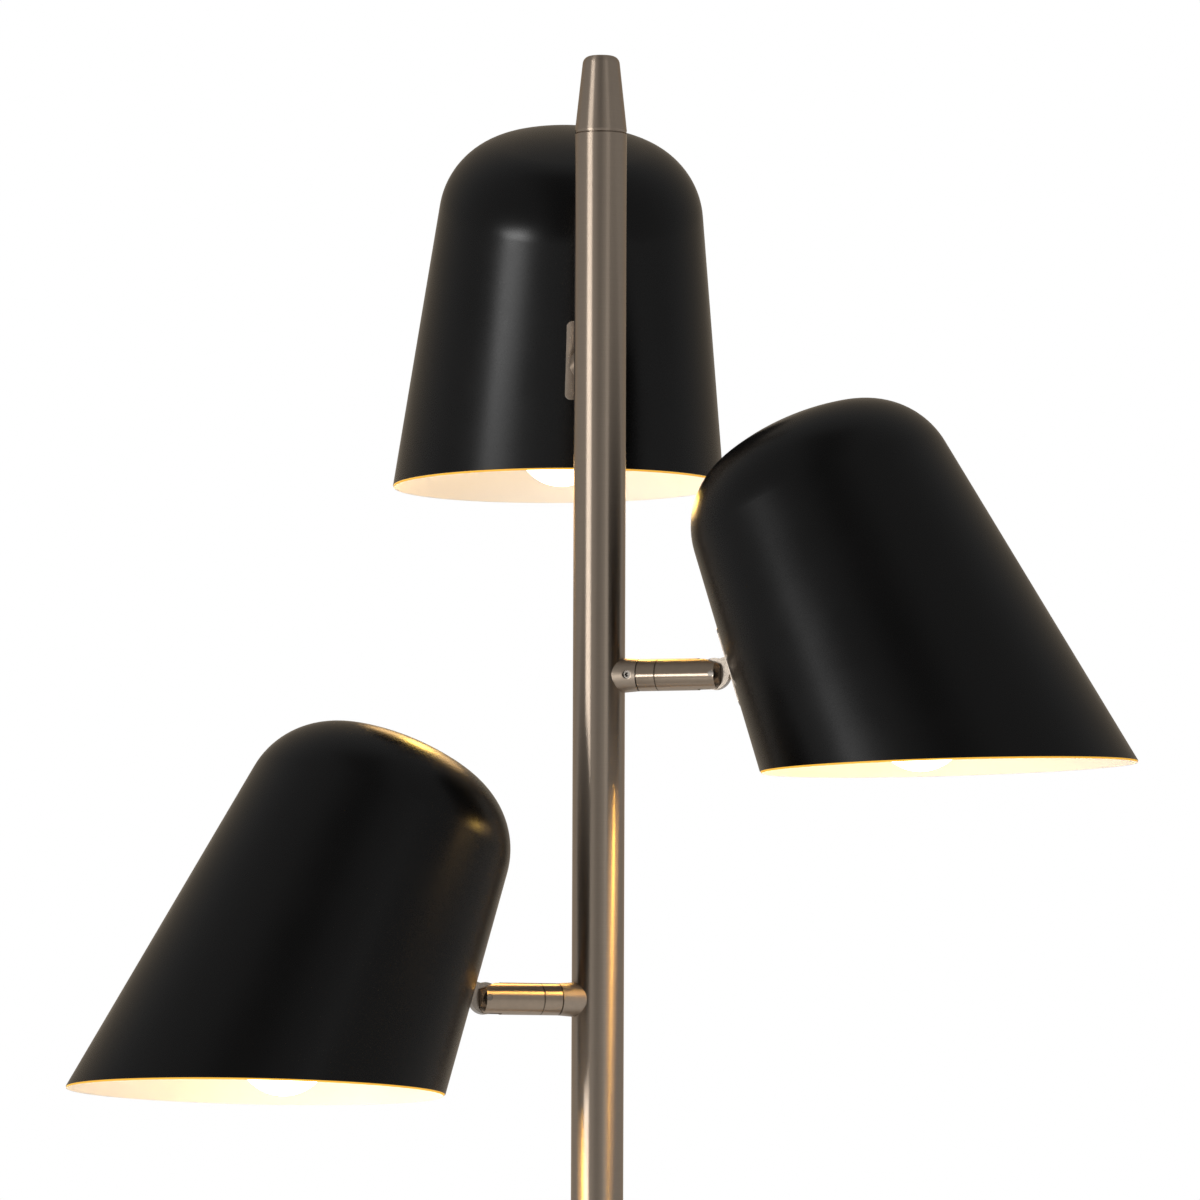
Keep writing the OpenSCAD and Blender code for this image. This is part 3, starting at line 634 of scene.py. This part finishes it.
def turned_nickel(name, colour_value, roughness):
    """Base cover turned on its face: fine rings about the pole's axis, read from the distance to it."""
    material, tree = empty_material(name)
    x, y, z = add_node(tree, "ShaderNodeSeparateXYZ", {0: object_vector(tree)}).outputs
    flat = add_node(tree, "ShaderNodeCombineXYZ", {0: x, 1: y, 2: 0.0}).outputs[0]
    radius = add_node(tree, "ShaderNodeVectorMath", {0: flat}, operation="LENGTH").outputs["Value"]
    bearing = maths(tree, "ARCTAN2", y, x)
    rings_at = add_node(tree, "ShaderNodeCombineXYZ", {0: radius, 1: bearing, 2: z}).outputs[0]
    lines = grain(tree, rings_at, (2600.0, 1.6, 2600.0), 4.0, 0.7)
    clouds = grain(tree, object_vector(tree), 22.0)
    tangent = add_node(tree, "ShaderNodeTangent", direction_type="RADIAL", axis="Z")
    return surfaced(
        material,
        {
            "Base Color": tinted(tree, colour_value, spread(tree, lines, 0.92, 1.06)),
            "Metallic": 1.0,
            "Roughness": spread(tree, clouds, roughness - 0.04, roughness + 0.05),
            "Anisotropic": 0.6,
            "Anisotropic Rotation": 0.25,
            "Tangent": tangent.outputs[0],
            "Normal": bumped(tree, lines, 0.004 * MM),
        },
    )


def plain_metal(name, colour_value, roughness, patch=225.0):
    """Plated or bare small parts: patches of colour and roughness, and a fine tooth."""
    material, tree = empty_material(name)
    vector = object_vector(tree)
    patches = grain(tree, vector, patch)
    tooth = grain(tree, vector, 8 * patch, 2.0)
    return surfaced(
        material,
        {
            "Base Color": tinted(tree, colour_value, spread(tree, patches, 0.86, 1.08)),
            "Metallic": 1.0,
            "Roughness": spread(tree, patches, roughness - 0.06, roughness + 0.08),
            "Normal": bumped(tree, tooth, 0.006 * MM),
        },
    )


def satin_paint(name, colour_value, roughness, gloss):
    """Sprayed satin paint: a low orange peel, uneven gloss and a few settled specks."""
    material, tree = empty_material(name)
    vector = object_vector(tree)
    peel = grain(tree, vector, 620.0, 2.0)
    fine = grain(tree, vector, 2600.0, 2.0)
    clouds = grain(tree, vector, 28.0)
    specks = add_node(tree, "ShaderNodeTexVoronoi", {"Vector": vector, "Scale": 260.0})
    speck = spread(tree, specks.outputs["Distance"], 1.5, 1.0, 0.02, 0.05)
    level = maths(tree, "MULTIPLY", spread(tree, clouds, 0.9, 1.15), speck)
    rough = spread(tree, clouds, roughness - 0.03, roughness + 0.03)
    return surfaced(
        material,
        {
            "Base Color": tinted(tree, colour_value, level),
            "Roughness": maths(tree, "ADD", rough, spread(tree, fine, -0.03, 0.03)),
            "Specular IOR Level": gloss,
            "Normal": bumped(tree, fine, 0.0015 * MM, below=bumped(tree, peel, 0.006 * MM)),
        },
    )


def enamel(name, shade):
    """Warm white lining, slightly uneven in thickness and gloss, with a painted glow on its lip.

    The UV map's first value is the distance from the middle of the lip, negative inside the shade, so
    the lip is where it is above zero. There the white turns to gold and emits a painted glow. Mirror
    rays see the lining emit a painted reflection on top, so metal and paint mirror it brighter than the
    picture can show it. The emission's colours are divided by its plain strength.
    """
    material, tree = empty_material(name)
    vector = object_vector(tree)
    clouds = grain(tree, vector, 36.0)
    peel = grain(tree, vector, 520.0, 2.0)
    on_lip = spread(tree, along_surface(tree), 0.0, 1.0, -0.05 * MM, 0.1 * MM)
    # The second value is the share by which the lip's base colour turns gold: part of the painted glow.
    strength, gold = 0.15, (0.5, 0.3, 0.04)
    white = tinted(tree, shade.enamel, spread(tree, clouds, 0.98, 1.01))
    painted_gold_lip = (*(level * part for level, part in zip(shade.enamel, gold)), 1.0)
    # Painted glow: the lip emits light though it is no lamp.
    lip = tinted(tree, [level / strength for level in shade.lip_painted_glow], on_lip)
    # Painted reflection: mirror rays see the lining emit this extra warm light, which no lamp gives it.
    added = [level * shade.lining_painted_reflection_level / strength for level in shade.lining_painted_reflection]
    mirror = tinted(tree, added, mirrored_ray(tree))
    return surfaced(
        material,
        {
            "Base Color": mixed_colour(tree, on_lip, white, painted_gold_lip),
            "Roughness": spread(tree, peel, 0.5, 0.6),
            "Specular IOR Level": 0.15,
            "Normal": bumped(tree, peel, 0.008 * MM),
            "Emission Color": add_node(
                tree, "ShaderNodeVectorMath", {0: lip, 1: mirror}, operation="ADD"
            ).outputs[0],
            "Emission Strength": strength,
        },
    )


def glowing_glass(name, bulb, globe_reach):
    """Frosted bulb glass lit from inside: even over the globe, dimmer down the neck.

    The UV map's first value is the distance from the globe's tip, so the neck starts at globe_reach.
    Metal and paint mirror the bulb at its full brightness and deeper gold, which would burn out the
    lining if the same light fell on it.
    """
    material, tree = empty_material(name)
    frost = grain(tree, object_vector(tree), 1500.0, 2.0)
    mirrored = mirrored_ray(tree)
    glow = mixed_colour(tree, mirrored, (*bulb.glow, 1.0), (*bulb.mirrored_glow, 1.0))
    strength = mixed(tree, mirrored, bulb.strength, bulb.mirrored_strength)
    fading = spread(tree, along_surface(tree), 1.0, 0.3, 0.8 * globe_reach, 1.4 * globe_reach)
    uneven = maths(tree, "MULTIPLY", fading, spread(tree, frost, 0.95, 1.05))
    return surfaced(
        material,
        {
            "Base Color": (0.85, 0.84, 0.82, 1.0),
            "Roughness": spread(tree, frost, 0.3, 0.4),
            "Emission Color": glow,
            "Emission Strength": maths(tree, "MULTIPLY", strength, uneven),
        },
    )


def moulded(name, colour_value, roughness, tooth_size=0.6 * MM, depth=0.012 * MM):
    """Moulded plastic, rubber or foam with a fine tooth."""
    material, tree = empty_material(name)
    vector = object_vector(tree)
    tooth = grain(tree, vector, 1 / tooth_size, 2.0)
    clouds = grain(tree, vector, 45.0, 2.0)
    return surfaced(
        material,
        {
            "Base Color": tinted(tree, colour_value, spread(tree, clouds, 0.93, 1.06)),
            "Roughness": spread(tree, tooth, roughness - 0.05, roughness + 0.05),
            "Normal": bumped(tree, tooth, depth),
        },
    )


def dress_nodes(names, material):
    """Gives carried-over solids a finish through their own material slots."""
    for name in names:
        for slot in frame["nodes"][name].material_slots:
            slot.material = material


# ---- Stage ----


LIT_POINT = (0.0, 0.0, 1.3)
SOFTBOXES = {  # name in the settings: place, and size across and up, in metres
    "key": ((-2.36, -2.0, 0.99), (1.22, 0.64)),
    "fill": ((1.75, -2.7, 1.35), (0.9, 2.2)),
}


def add_softbox(name, place, size, power):
    """A soft rectangular light that stands upright and faces the lit point."""
    data = bpy.data.lights.new(name, "AREA")
    data.shape = "RECTANGLE"
    data.size, data.size_y = size
    data.energy = power
    light = bpy.data.objects.new(name, data)
    bpy.context.scene.collection.objects.link(light)
    back = unit(np.array(place) - np.array(LIT_POINT))
    right = unit(np.cross((0.0, 0.0, 1.0), back))
    axes = np.eye(4)
    axes[:3, :3] = np.column_stack([right, np.cross(back, right), back])
    axes[:3, 3] = place
    light.matrix_world = Matrix(axes.tolist())


def studio_world(room):
    """White for the camera, plain light for matt surfaces, and a dim studio for mirrors.

    Polished surfaces see a warm backdrop behind the lamp (+Y), grey walls at the sides and a dark strip
    of room in front, by the direction of the ray alone. The numbers are levels and then the parts of
    that direction between which they change.
    """
    world = bpy.data.worlds.new("studio")
    bpy.context.scene.world = world
    world.use_nodes = True
    tree = world.node_tree
    tree.nodes.clear()
    way = add_node(
        tree, "ShaderNodeSeparateXYZ", {0: add_node(tree, "ShaderNodeTexCoord").outputs["Generated"]}
    )
    to_right, to_rear = way.outputs[0], way.outputs[1]
    sides = spread(tree, to_right, 0.36, 0.33, -0.6, 0.6)
    backdrop = spread(tree, to_rear, 0.0, 0.15, 0.9, 0.97)
    off_strip = maths(tree, "ABSOLUTE", maths(tree, "ADD", to_right, 0.06))
    strip = spread(tree, off_strip, 0.45, 1.0, 0.1, 0.38)
    past_front = spread(tree, to_rear, 0.0, 1.0, -0.4, 0.0)
    walls = maths(tree, "MULTIPLY", sides, maths(tree, "MAXIMUM", strip, past_front))
    studio = maths(tree, "ADD", walls, backdrop)
    ray = add_node(tree, "ShaderNodeLightPath")
    mirrored = maths(
        tree, "MAXIMUM", ray.outputs["Is Glossy Ray"], ray.outputs["Is Transmission Ray"]
    )
    indoors = mixed(tree, mirrored, room, studio)
    level = mixed(tree, ray.outputs["Is Camera Ray"], indoors, 1.0)
    warmth = maths(tree, "MULTIPLY", spread(tree, to_rear, 0.0, 1.0, 0.3, 0.8), mirrored)
    tint = mixed_colour(tree, warmth, (1.0, 1.0, 1.0, 1.0), (1.0, 0.84, 0.65, 1.0))
    shader = add_node(tree, "ShaderNodeBackground", {"Color": tint, "Strength": level})
    add_node(tree, "ShaderNodeOutputWorld", {"Surface": shader.outputs[0]})


def floor_material(colour_value):
    """Pale matt floor with the faintest unevenness."""
    material, tree = empty_material("pale_floor")
    clouds = grain(tree, object_vector(tree), 3.0, 2.0)
    pale = tinted(tree, colour_value, spread(tree, clouds, 0.99, 1.01))
    return surfaced(material, {"Base Color": pale, "Roughness": 0.8})


class LAMP_OT_stage(bpy.types.Operator):
    """Adds the floor, the studio light and the camera"""

    bl_idname = "floor_lamp.stage"
    bl_label = "Stage"

    def execute(self, context):
        stage = context.scene.lamp_stage
        context.scene.view_settings.view_transform = "Standard"
        ground = (0.0, 0.0, CAD_BOX[0].z)
        square = np.array([[-1, -1, 0], [1, -1, 0], [1, 1, 0], [-1, 1, 0]]) * stage.floor_reach + ground
        mesh = new_mesh("floor", square, np.arange(4), np.array([4]), square[:, :2])
        floor = bpy.data.objects.new("floor", mesh)
        context.scene.collection.objects.link(floor)
        mesh.materials.append(floor_material(stage.floor))
        studio_world(stage.room)
        for name, (place, size) in SOFTBOXES.items():
            add_softbox(name + "_softbox", place, size, getattr(stage, name))
        data = bpy.data.cameras.new("camera")
        data.lens = stage.lens
        data.sensor_width = stage.sensor
        camera = bpy.data.objects.new("camera", data)
        context.scene.collection.objects.link(camera)
        upright = Matrix.Rotation(math.radians(90) + stage.pitch, 4, "X")
        offset = Matrix.Translation((stage.side, -stage.distance, stage.height))
        camera.matrix_world = offset @ upright @ Matrix.Rotation(stage.roll, 4, "Z")
        context.scene.camera = camera
        return {"FINISHED"}


# ---- Shades ----


def shade_arcs(shade, inset, arc_rows=20):
    """Shoulder and crown of a shade's half section, set in from its outside, from the cone to the axis.

    The shoulder's centre (x, z) lies one shoulder radius inside the cone and one crown radius less a
    shoulder radius from the crown's centre, which gives a quadratic for z. Points on both arcs are
    centre + (radius - inset) * normal. Returns points and normals.
    """
    tan_t, cos_t, sin_t = math.tan(shade.taper), math.cos(shade.taper), math.sin(shade.taper)
    crown_z = shade.crown_height - shade.crown_radius
    k = shade.mount_radius * cos_t - shade.shoulder_radius
    a = 1 + tan_t**2
    b = -2 * k * sin_t / cos_t**2 - 2 * crown_z
    c = (k / cos_t) ** 2 + crown_z**2 - (shade.crown_radius - shade.shoulder_radius) ** 2
    z = (-b + math.sqrt(b * b - 4 * a * c)) / (2 * a)
    x = (k - z * sin_t) / cos_t
    to_crown = math.pi / 2 - math.atan2(x, z - crown_z)
    shoulder = np.linspace(shade.taper, to_crown, arc_rows)
    crown = np.linspace(to_crown, math.pi / 2, arc_rows)[1:]
    shoulder_normal = np.column_stack([np.cos(shoulder), np.sin(shoulder)])
    crown_normal = np.column_stack([np.cos(crown), np.sin(crown)])
    arcs = np.vstack(
        [
            (x, z) + (shade.shoulder_radius - inset) * shoulder_normal,
            (0, crown_z) + (shade.crown_radius - inset) * crown_normal,
        ]
    )
    arcs[-1, 0] = 0.0
    return arcs, np.vstack([shoulder_normal, crown_normal])


def rim_level(shade, radius_at_mount, turn, lift):
    """Height of the rim's plane, lifted by lift, on a cone wall at each turn about the shade's axis.

    The plane's normal n = (sin slant, 0, cos slant), and it passes one rim drop below the hinge pin,
    so n . p = n . pin - drop + lift. On the wall r = R - z tan(taper), which is solved for z.
    """
    n_x, n_z = math.sin(shade.rim_slant), math.cos(shade.rim_slant)
    pin_x = -shade.mount_radius - shade.hinge_reach * math.cos(shade.taper)
    pin_z = shade.hinge_reach * math.sin(shade.taper)
    level = n_x * pin_x + n_z * pin_z - shade.rim_drop + lift
    run = n_x * np.cos(turn)
    return (level - run * radius_at_mount) / (n_z - run * math.tan(shade.taper))


def shade_wall(shade, inset, turn, lift, cone_rows=8):
    """One face of a shade's wall: points and normals [row, turn] from the rim up to the crown.

    The cone's rows rise in equal steps from the rim to the shoulder, where r = R - z tan(taper).
    """
    arcs, arc_normals = shade_arcs(shade, inset)
    radius_at_mount = shade.mount_radius - inset / math.cos(shade.taper)
    low = rim_level(shade, radius_at_mount, turn, lift)
    part = np.linspace(0, 1, cone_rows + 1)[:-1, None]
    z = low * (1 - part) + arcs[0, 1] * part
    r = radius_at_mount - z * math.tan(shade.taper)
    z = np.vstack([z, np.repeat(arcs[:, 1:], len(turn), 1)])
    r = np.vstack([r, np.repeat(arcs[:, :1], len(turn), 1)])
    cone_normal = np.tile([math.cos(shade.taper), math.sin(shade.taper)], (cone_rows, 1))
    normals = np.vstack([cone_normal, arc_normals])
    return swept(r, z, turn), swept(normals[:, :1], normals[:, 1:], turn)


def shade_skin(name, shade, place, outer_inset, inner_inset, lift, steps=160, bead_rows=6):
    """Closed skin between two insets: inside from the crown down, a round rim, then outside up.

    The rim's rows follow a half circle from the inner wall's edge to the outer wall's: middle +
    cos(s) * half the wall across + sin(s) * half the wall downwards.
    """
    turn = np.linspace(0, 2 * math.pi, steps + 1)
    half = (inner_inset - outer_inset) / 2
    outside, outside_normal = shade_wall(shade, outer_inset, turn[:-1], lift + half)
    inside, inside_normal = shade_wall(shade, inner_inset, turn[:-1], lift + half)
    s = np.linspace(0, math.pi, bead_rows + 2)[1:-1, None, None]
    across = unit(inside[0] - outside[0])
    down = unit(outside[0] - outside[1])
    bead_normal = np.cos(s) * across + np.sin(s) * down
    bead = (inside[0] + outside[0]) / 2 + half * bead_normal
    points = np.concatenate([inside[::-1], bead, outside])
    normals = np.concatenate([-inside_normal[::-1], bead_normal, outside_normal])
    along = travel(points[:, 0])
    return grid_mesh(
        name,
        place.points(points),
        place.directions(normals),
        along - along[len(inside) + bead_rows // 2],
        turn * shade.mount_radius,
        False,
    )


class LAMP_OT_shades(bpy.types.Operator):
    """Builds the three shades, each a black shell over a white lining"""

    bl_idname = "floor_lamp.shades"
    bl_label = "Shades"

    def execute(self, context):
        shade = context.scene.lamp_shade
        paint = satin_paint("black_paint", shade.paint, shade.paint_roughness, shade.paint_gloss)
        lining = enamel("white_enamel", shade)
        behind_shell = shade.shell_wall + shade.skin_gap
        for lamp in LAMPS:
            place = shade_place(lamp, shade)
            for skin, outer, inner, lift, finish, slot in (
                ("shell", 0.0, shade.shell_wall, shade.lip, paint, "black_paint"),
                ("lining", behind_shell, shade.wall, 0.0, lining, "white_enamel"),
            ):
                name = f"{lamp}_shade_{skin}"
                mesh = shade_skin(name, shade, place, outer, inner, lift)
                add_piece(name, mesh, finish, lamp + "_head", lamp + "_shade")
        return {"FINISHED"}


# ---- Bulbs ----


def bulb_outline(bulb, inset, rows=40):
    """Half section of a globe bulb from its tip to the cap.

    A circle runs from the tip to 50 degrees above the middle. From there a cubic curve leaves along
    the circle's tangent and arrives at the cap straight up.
    """
    touch = math.radians(50)
    radius = bulb.radius - inset
    a = np.linspace(-math.pi / 2, touch, rows)
    ball = radius * np.column_stack([np.cos(a), np.sin(a)])
    ball[0, 0] = 0.0
    end = np.array([bulb.neck_radius - inset, bulb.neck_length])
    pull = 0.9 * np.linalg.norm(end - ball[-1])
    leave = pull * np.array([-math.sin(touch), math.cos(touch)])
    arrive = pull * np.array([0.0, 1.0])
    t = np.linspace(0, 1, rows // 2)[1:, None]
    neck = (
        (2 * t**3 - 3 * t**2 + 1) * ball[-1]
        + (t**3 - 2 * t**2 + t) * leave
        + (3 * t**2 - 2 * t**3) * end
        + (t**3 - t**2) * arrive
    )
    points = np.vstack([ball, neck])
    normals = np.gradient(points, axis=0)
    normals = unit(np.column_stack([normals[:, 1], -normals[:, 0]]))
    normals[: len(ball)] = np.column_stack([np.cos(a), np.sin(a)])
    return points, normals


class LAMP_OT_bulbs(bpy.types.Operator):
    """Builds the glowing globe bulbs"""

    bl_idname = "floor_lamp.bulbs"
    bl_label = "Bulbs"

    def execute(self, context):
        bulb = context.scene.lamp_bulb
        neck_start = math.radians(135) * bulb.radius
        glass = glowing_glass("bulb_glass", bulb, neck_start)
        outer, outer_normals = bulb_outline(bulb, 0.0)
        inner, inner_normals = bulb_outline(bulb, bulb.wall)
        outline = np.vstack([outer, inner[::-1]]), np.vstack([outer_normals, -inner_normals[::-1]])
        for lamp in LAMPS:
            name, node = lamp + "_bulb_globe", lamp + "_bulb_glass"
            place = shade_place(lamp, context.scene.lamp_shade).moved((0, 0, -bulb.drop))
            mesh = turned_mesh(name, outline, place, steps=96)
            add_piece(name, mesh, glass, lamp + "_head", node)
        return {"FINISHED"}


# ---- Pole ----


def tube_outline(pole, low, high, radius):
    """Section of a tube's wall from one end to the other, its four corners rounded."""
    inside = radius - pole.wall
    corners = [(inside, low), (radius, low), (radius, high), (inside, high)]
    return rounded(corners, pole.edge, closed=True)


def finial_outline(pole, base, tip, radius):
    """Half section of the finial from its stud up: shadow line, bevel, taper and rounded tip.

    The taper narrows by slope for each unit of height, and runs on to the corner that the tip's round
    cuts off.
    """
    stud_end, ledge = base - pole.thread_length, base + pole.seam
    groove = radius - 2 * pole.seam
    slope = (radius - pole.tip_radius) / (tip - ledge - pole.bevel - pole.tip_round)
    corners = np.array(
        [  # radius, height, and the corner's own round
            (0.0, stud_end, 0.0),
            (pole.thread_radius, stud_end, 0.5 * MM),
            (pole.thread_radius, base, 0.1 * MM),
            (groove, base, 0.1 * MM),
            (groove, ledge, 0.1 * MM),
            (radius - pole.bevel_depth, ledge, 0.12 * MM),
            (radius, ledge + pole.bevel, 0.3 * MM),
            (pole.tip_radius - slope * pole.tip_round, tip, pole.tip_round),
            (0.0, tip, 0.0),
        ]
    )
    return rounded(corners[:, :2], corners[:, 2], steps=8)


class LAMP_OT_pole(bpy.types.Operator):
    """Builds the two brushed pole tubes and the finial"""

    bl_idname = "floor_lamp.pole"
    bl_label = "Pole"

    def execute(self, context):
        pole = context.scene.lamp_pole
        nickel = brushed_metal("brushed_nickel", pole.finish, pole.roughness, pole.brushing)
        for name in ("pole_lower", "pole_upper"):
            low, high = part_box(name)
            outline = tube_outline(pole, low.z, high.z, high.x)
            mesh = turned_mesh(name + "_tube", outline, closed=True, steps=160)
            add_piece(name + "_tube", mesh, nickel, "root", name)
        top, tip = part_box("pole_upper")[1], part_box("finial")[1]
        mesh = turned_mesh("finial_cap", finial_outline(pole, top.z, tip.z, top.x), steps=160)
        add_piece("finial_cap", mesh, nickel, "root", "finial")
        return {"FINISHED"}


# ---- Arms ----


class LAMP_OT_arms(bpy.types.Operator):
    """Builds the saddles, swivel rings and knuckles"""

    bl_idname = "floor_lamp.arms"
    bl_label = "Arms"

    def execute(self, context):
        arm = context.scene.lamp_arm
        satin = grained_metal("satin_nickel", arm.satin, arm.satin_roughness)
        turned = turned_metal(
            "turned_arm_nickel", arm.turned, arm.turned_roughness, arm.turned_stretch, arm.cut_roughness
        )
        for lamp in LAMPS:
            place = arm_place(lamp)
            for part, body, metal, edge, slot in (
                ("saddle", "root", satin, arm.edge, "brushed_nickel"),
                ("swivel_ring", lamp + "_arm", turned, arm.seam_edge, "bright_nickel"),
                ("knuckle", lamp + "_arm", turned, arm.seam_edge, "bright_nickel"),
            ):
                node = f"{lamp}_{part}"
                piece = softened_copy(node + "_body", node, place, edge)
                add_piece(node + "_body", piece, metal, body, node)
        return {"FINISHED"}


class LAMP_OT_brackets(bpy.types.Operator):
    """Builds the polished hinge brackets"""

    bl_idname = "floor_lamp.brackets"
    bl_label = "Hinge brackets"

    def execute(self, context):
        arm = context.scene.lamp_arm
        polish = grained_metal("polished_nickel", arm.polish, arm.polish_roughness, depth=0.0004 * MM)
        for lamp in LAMPS:
            node = lamp + "_hinge_bracket"
            piece = softened_copy(node + "_body", node, arm_place(lamp), arm.edge)
            add_piece(node + "_body", piece, polish, lamp + "_head", node)
        return {"FINISHED"}


# ---- Base and small parts ----


class LAMP_OT_base(bpy.types.Operator):
    """Finishes the base's cover, weight, pad and grommet"""

    bl_idname = "floor_lamp.base"
    bl_label = "Base"

    def execute(self, context):
        base = context.scene.lamp_base
        iron = moulded("cast_iron", (0.06, 0.058, 0.056), 0.6, 1.1 * MM, 0.05 * MM)
        foam = moulded("foam_pad", (0.022, 0.022, 0.023), 0.85, 0.5 * MM, 0.06 * MM)
        dress_nodes(["base_cover"], turned_nickel("turned_nickel", base.finish, base.roughness))
        dress_nodes(["base_weight"], iron)
        dress_nodes(["base_pad"], foam)
        dress_nodes(["cord_grommet"], moulded("black_rubber", (0.014, 0.014, 0.014), 0.55))
        return {"FINISHED"}


class LAMP_OT_small_parts(bpy.types.Operator):
    """Finishes the lampholders, caps, fasteners and inner parts"""

    bl_idname = "floor_lamp.small_parts"
    bl_label = "Small parts"

    def execute(self, context):
        zinc = plain_metal("zinc_plate", (0.62, 0.63, 0.64), 0.3)
        brass = plain_metal("brass", (0.72, 0.52, 0.24), 0.26)
        screw = plain_metal("screw_steel", (0.24, 0.215, 0.19), 0.34)
        plastic = moulded("white_plastic", (0.78, 0.77, 0.73), 0.35)
        stand_brass = ["foot_tube", "pole_inserts", "pole_coupler", "weld_nuts"]
        for finish, on_stand, on_lamps in (
            (zinc, ["foot_fasteners"], ("bracket_nuts", "holder_bracket", "holder_nut", "bulb_cap")),
            (brass, stand_brass, ("stud", "friction_washer", "contact_shell")),
            (screw, ["set_screws"], ("hinge_pin",)),
            (plastic, ["lamp_leads"], ("lampholder",)),
        ):
            dress_nodes(on_stand, finish)
            dress_nodes([f"{lamp}_{piece}" for piece in on_lamps for lamp in LAMPS], finish)
        return {"FINISHED"}


class LAMP_PT_panel(bpy.types.Panel):
    """Lists the lamp's pieces and their settings"""

    bl_idname = "LAMP_PT_panel"
    bl_label = "Floor lamp"
    bl_space_type = "VIEW_3D"
    bl_region_type = "UI"
    bl_category = "Floor lamp"

    def draw(self, context):
        for operator in OPERATORS:
            self.layout.operator(operator.bl_idname)
        for name, group in SETTINGS.items():
            box = self.layout.box()
            box.label(text=group.__doc__)
            for field in group.__annotations__:
                box.prop(getattr(context.scene, name), field)


OPERATORS = (
    LAMP_OT_stage,
    LAMP_OT_shades,
    LAMP_OT_bulbs,
    LAMP_OT_pole,
    LAMP_OT_arms,
    LAMP_OT_brackets,
    LAMP_OT_base,
    LAMP_OT_small_parts,
)


def register():
    for item in (*SETTINGS.values(), *OPERATORS, LAMP_PT_panel):
        bpy.utils.register_class(item)
    for name, group in SETTINGS.items():
        setattr(bpy.types.Scene, name, bpy.props.PointerProperty(type=group))


def unregister():
    for name in SETTINGS:
        delattr(bpy.types.Scene, name)
    for item in reversed((*SETTINGS.values(), *OPERATORS, LAMP_PT_panel)):
        bpy.utils.unregister_class(item)


def main():
    """Registers the add-on and builds every piece in order."""
    register()
    for operator in OPERATORS:
        group, name = operator.bl_idname.split(".")
        getattr(getattr(bpy.ops, group), name)()


if __name__ == "__main__":
    main()
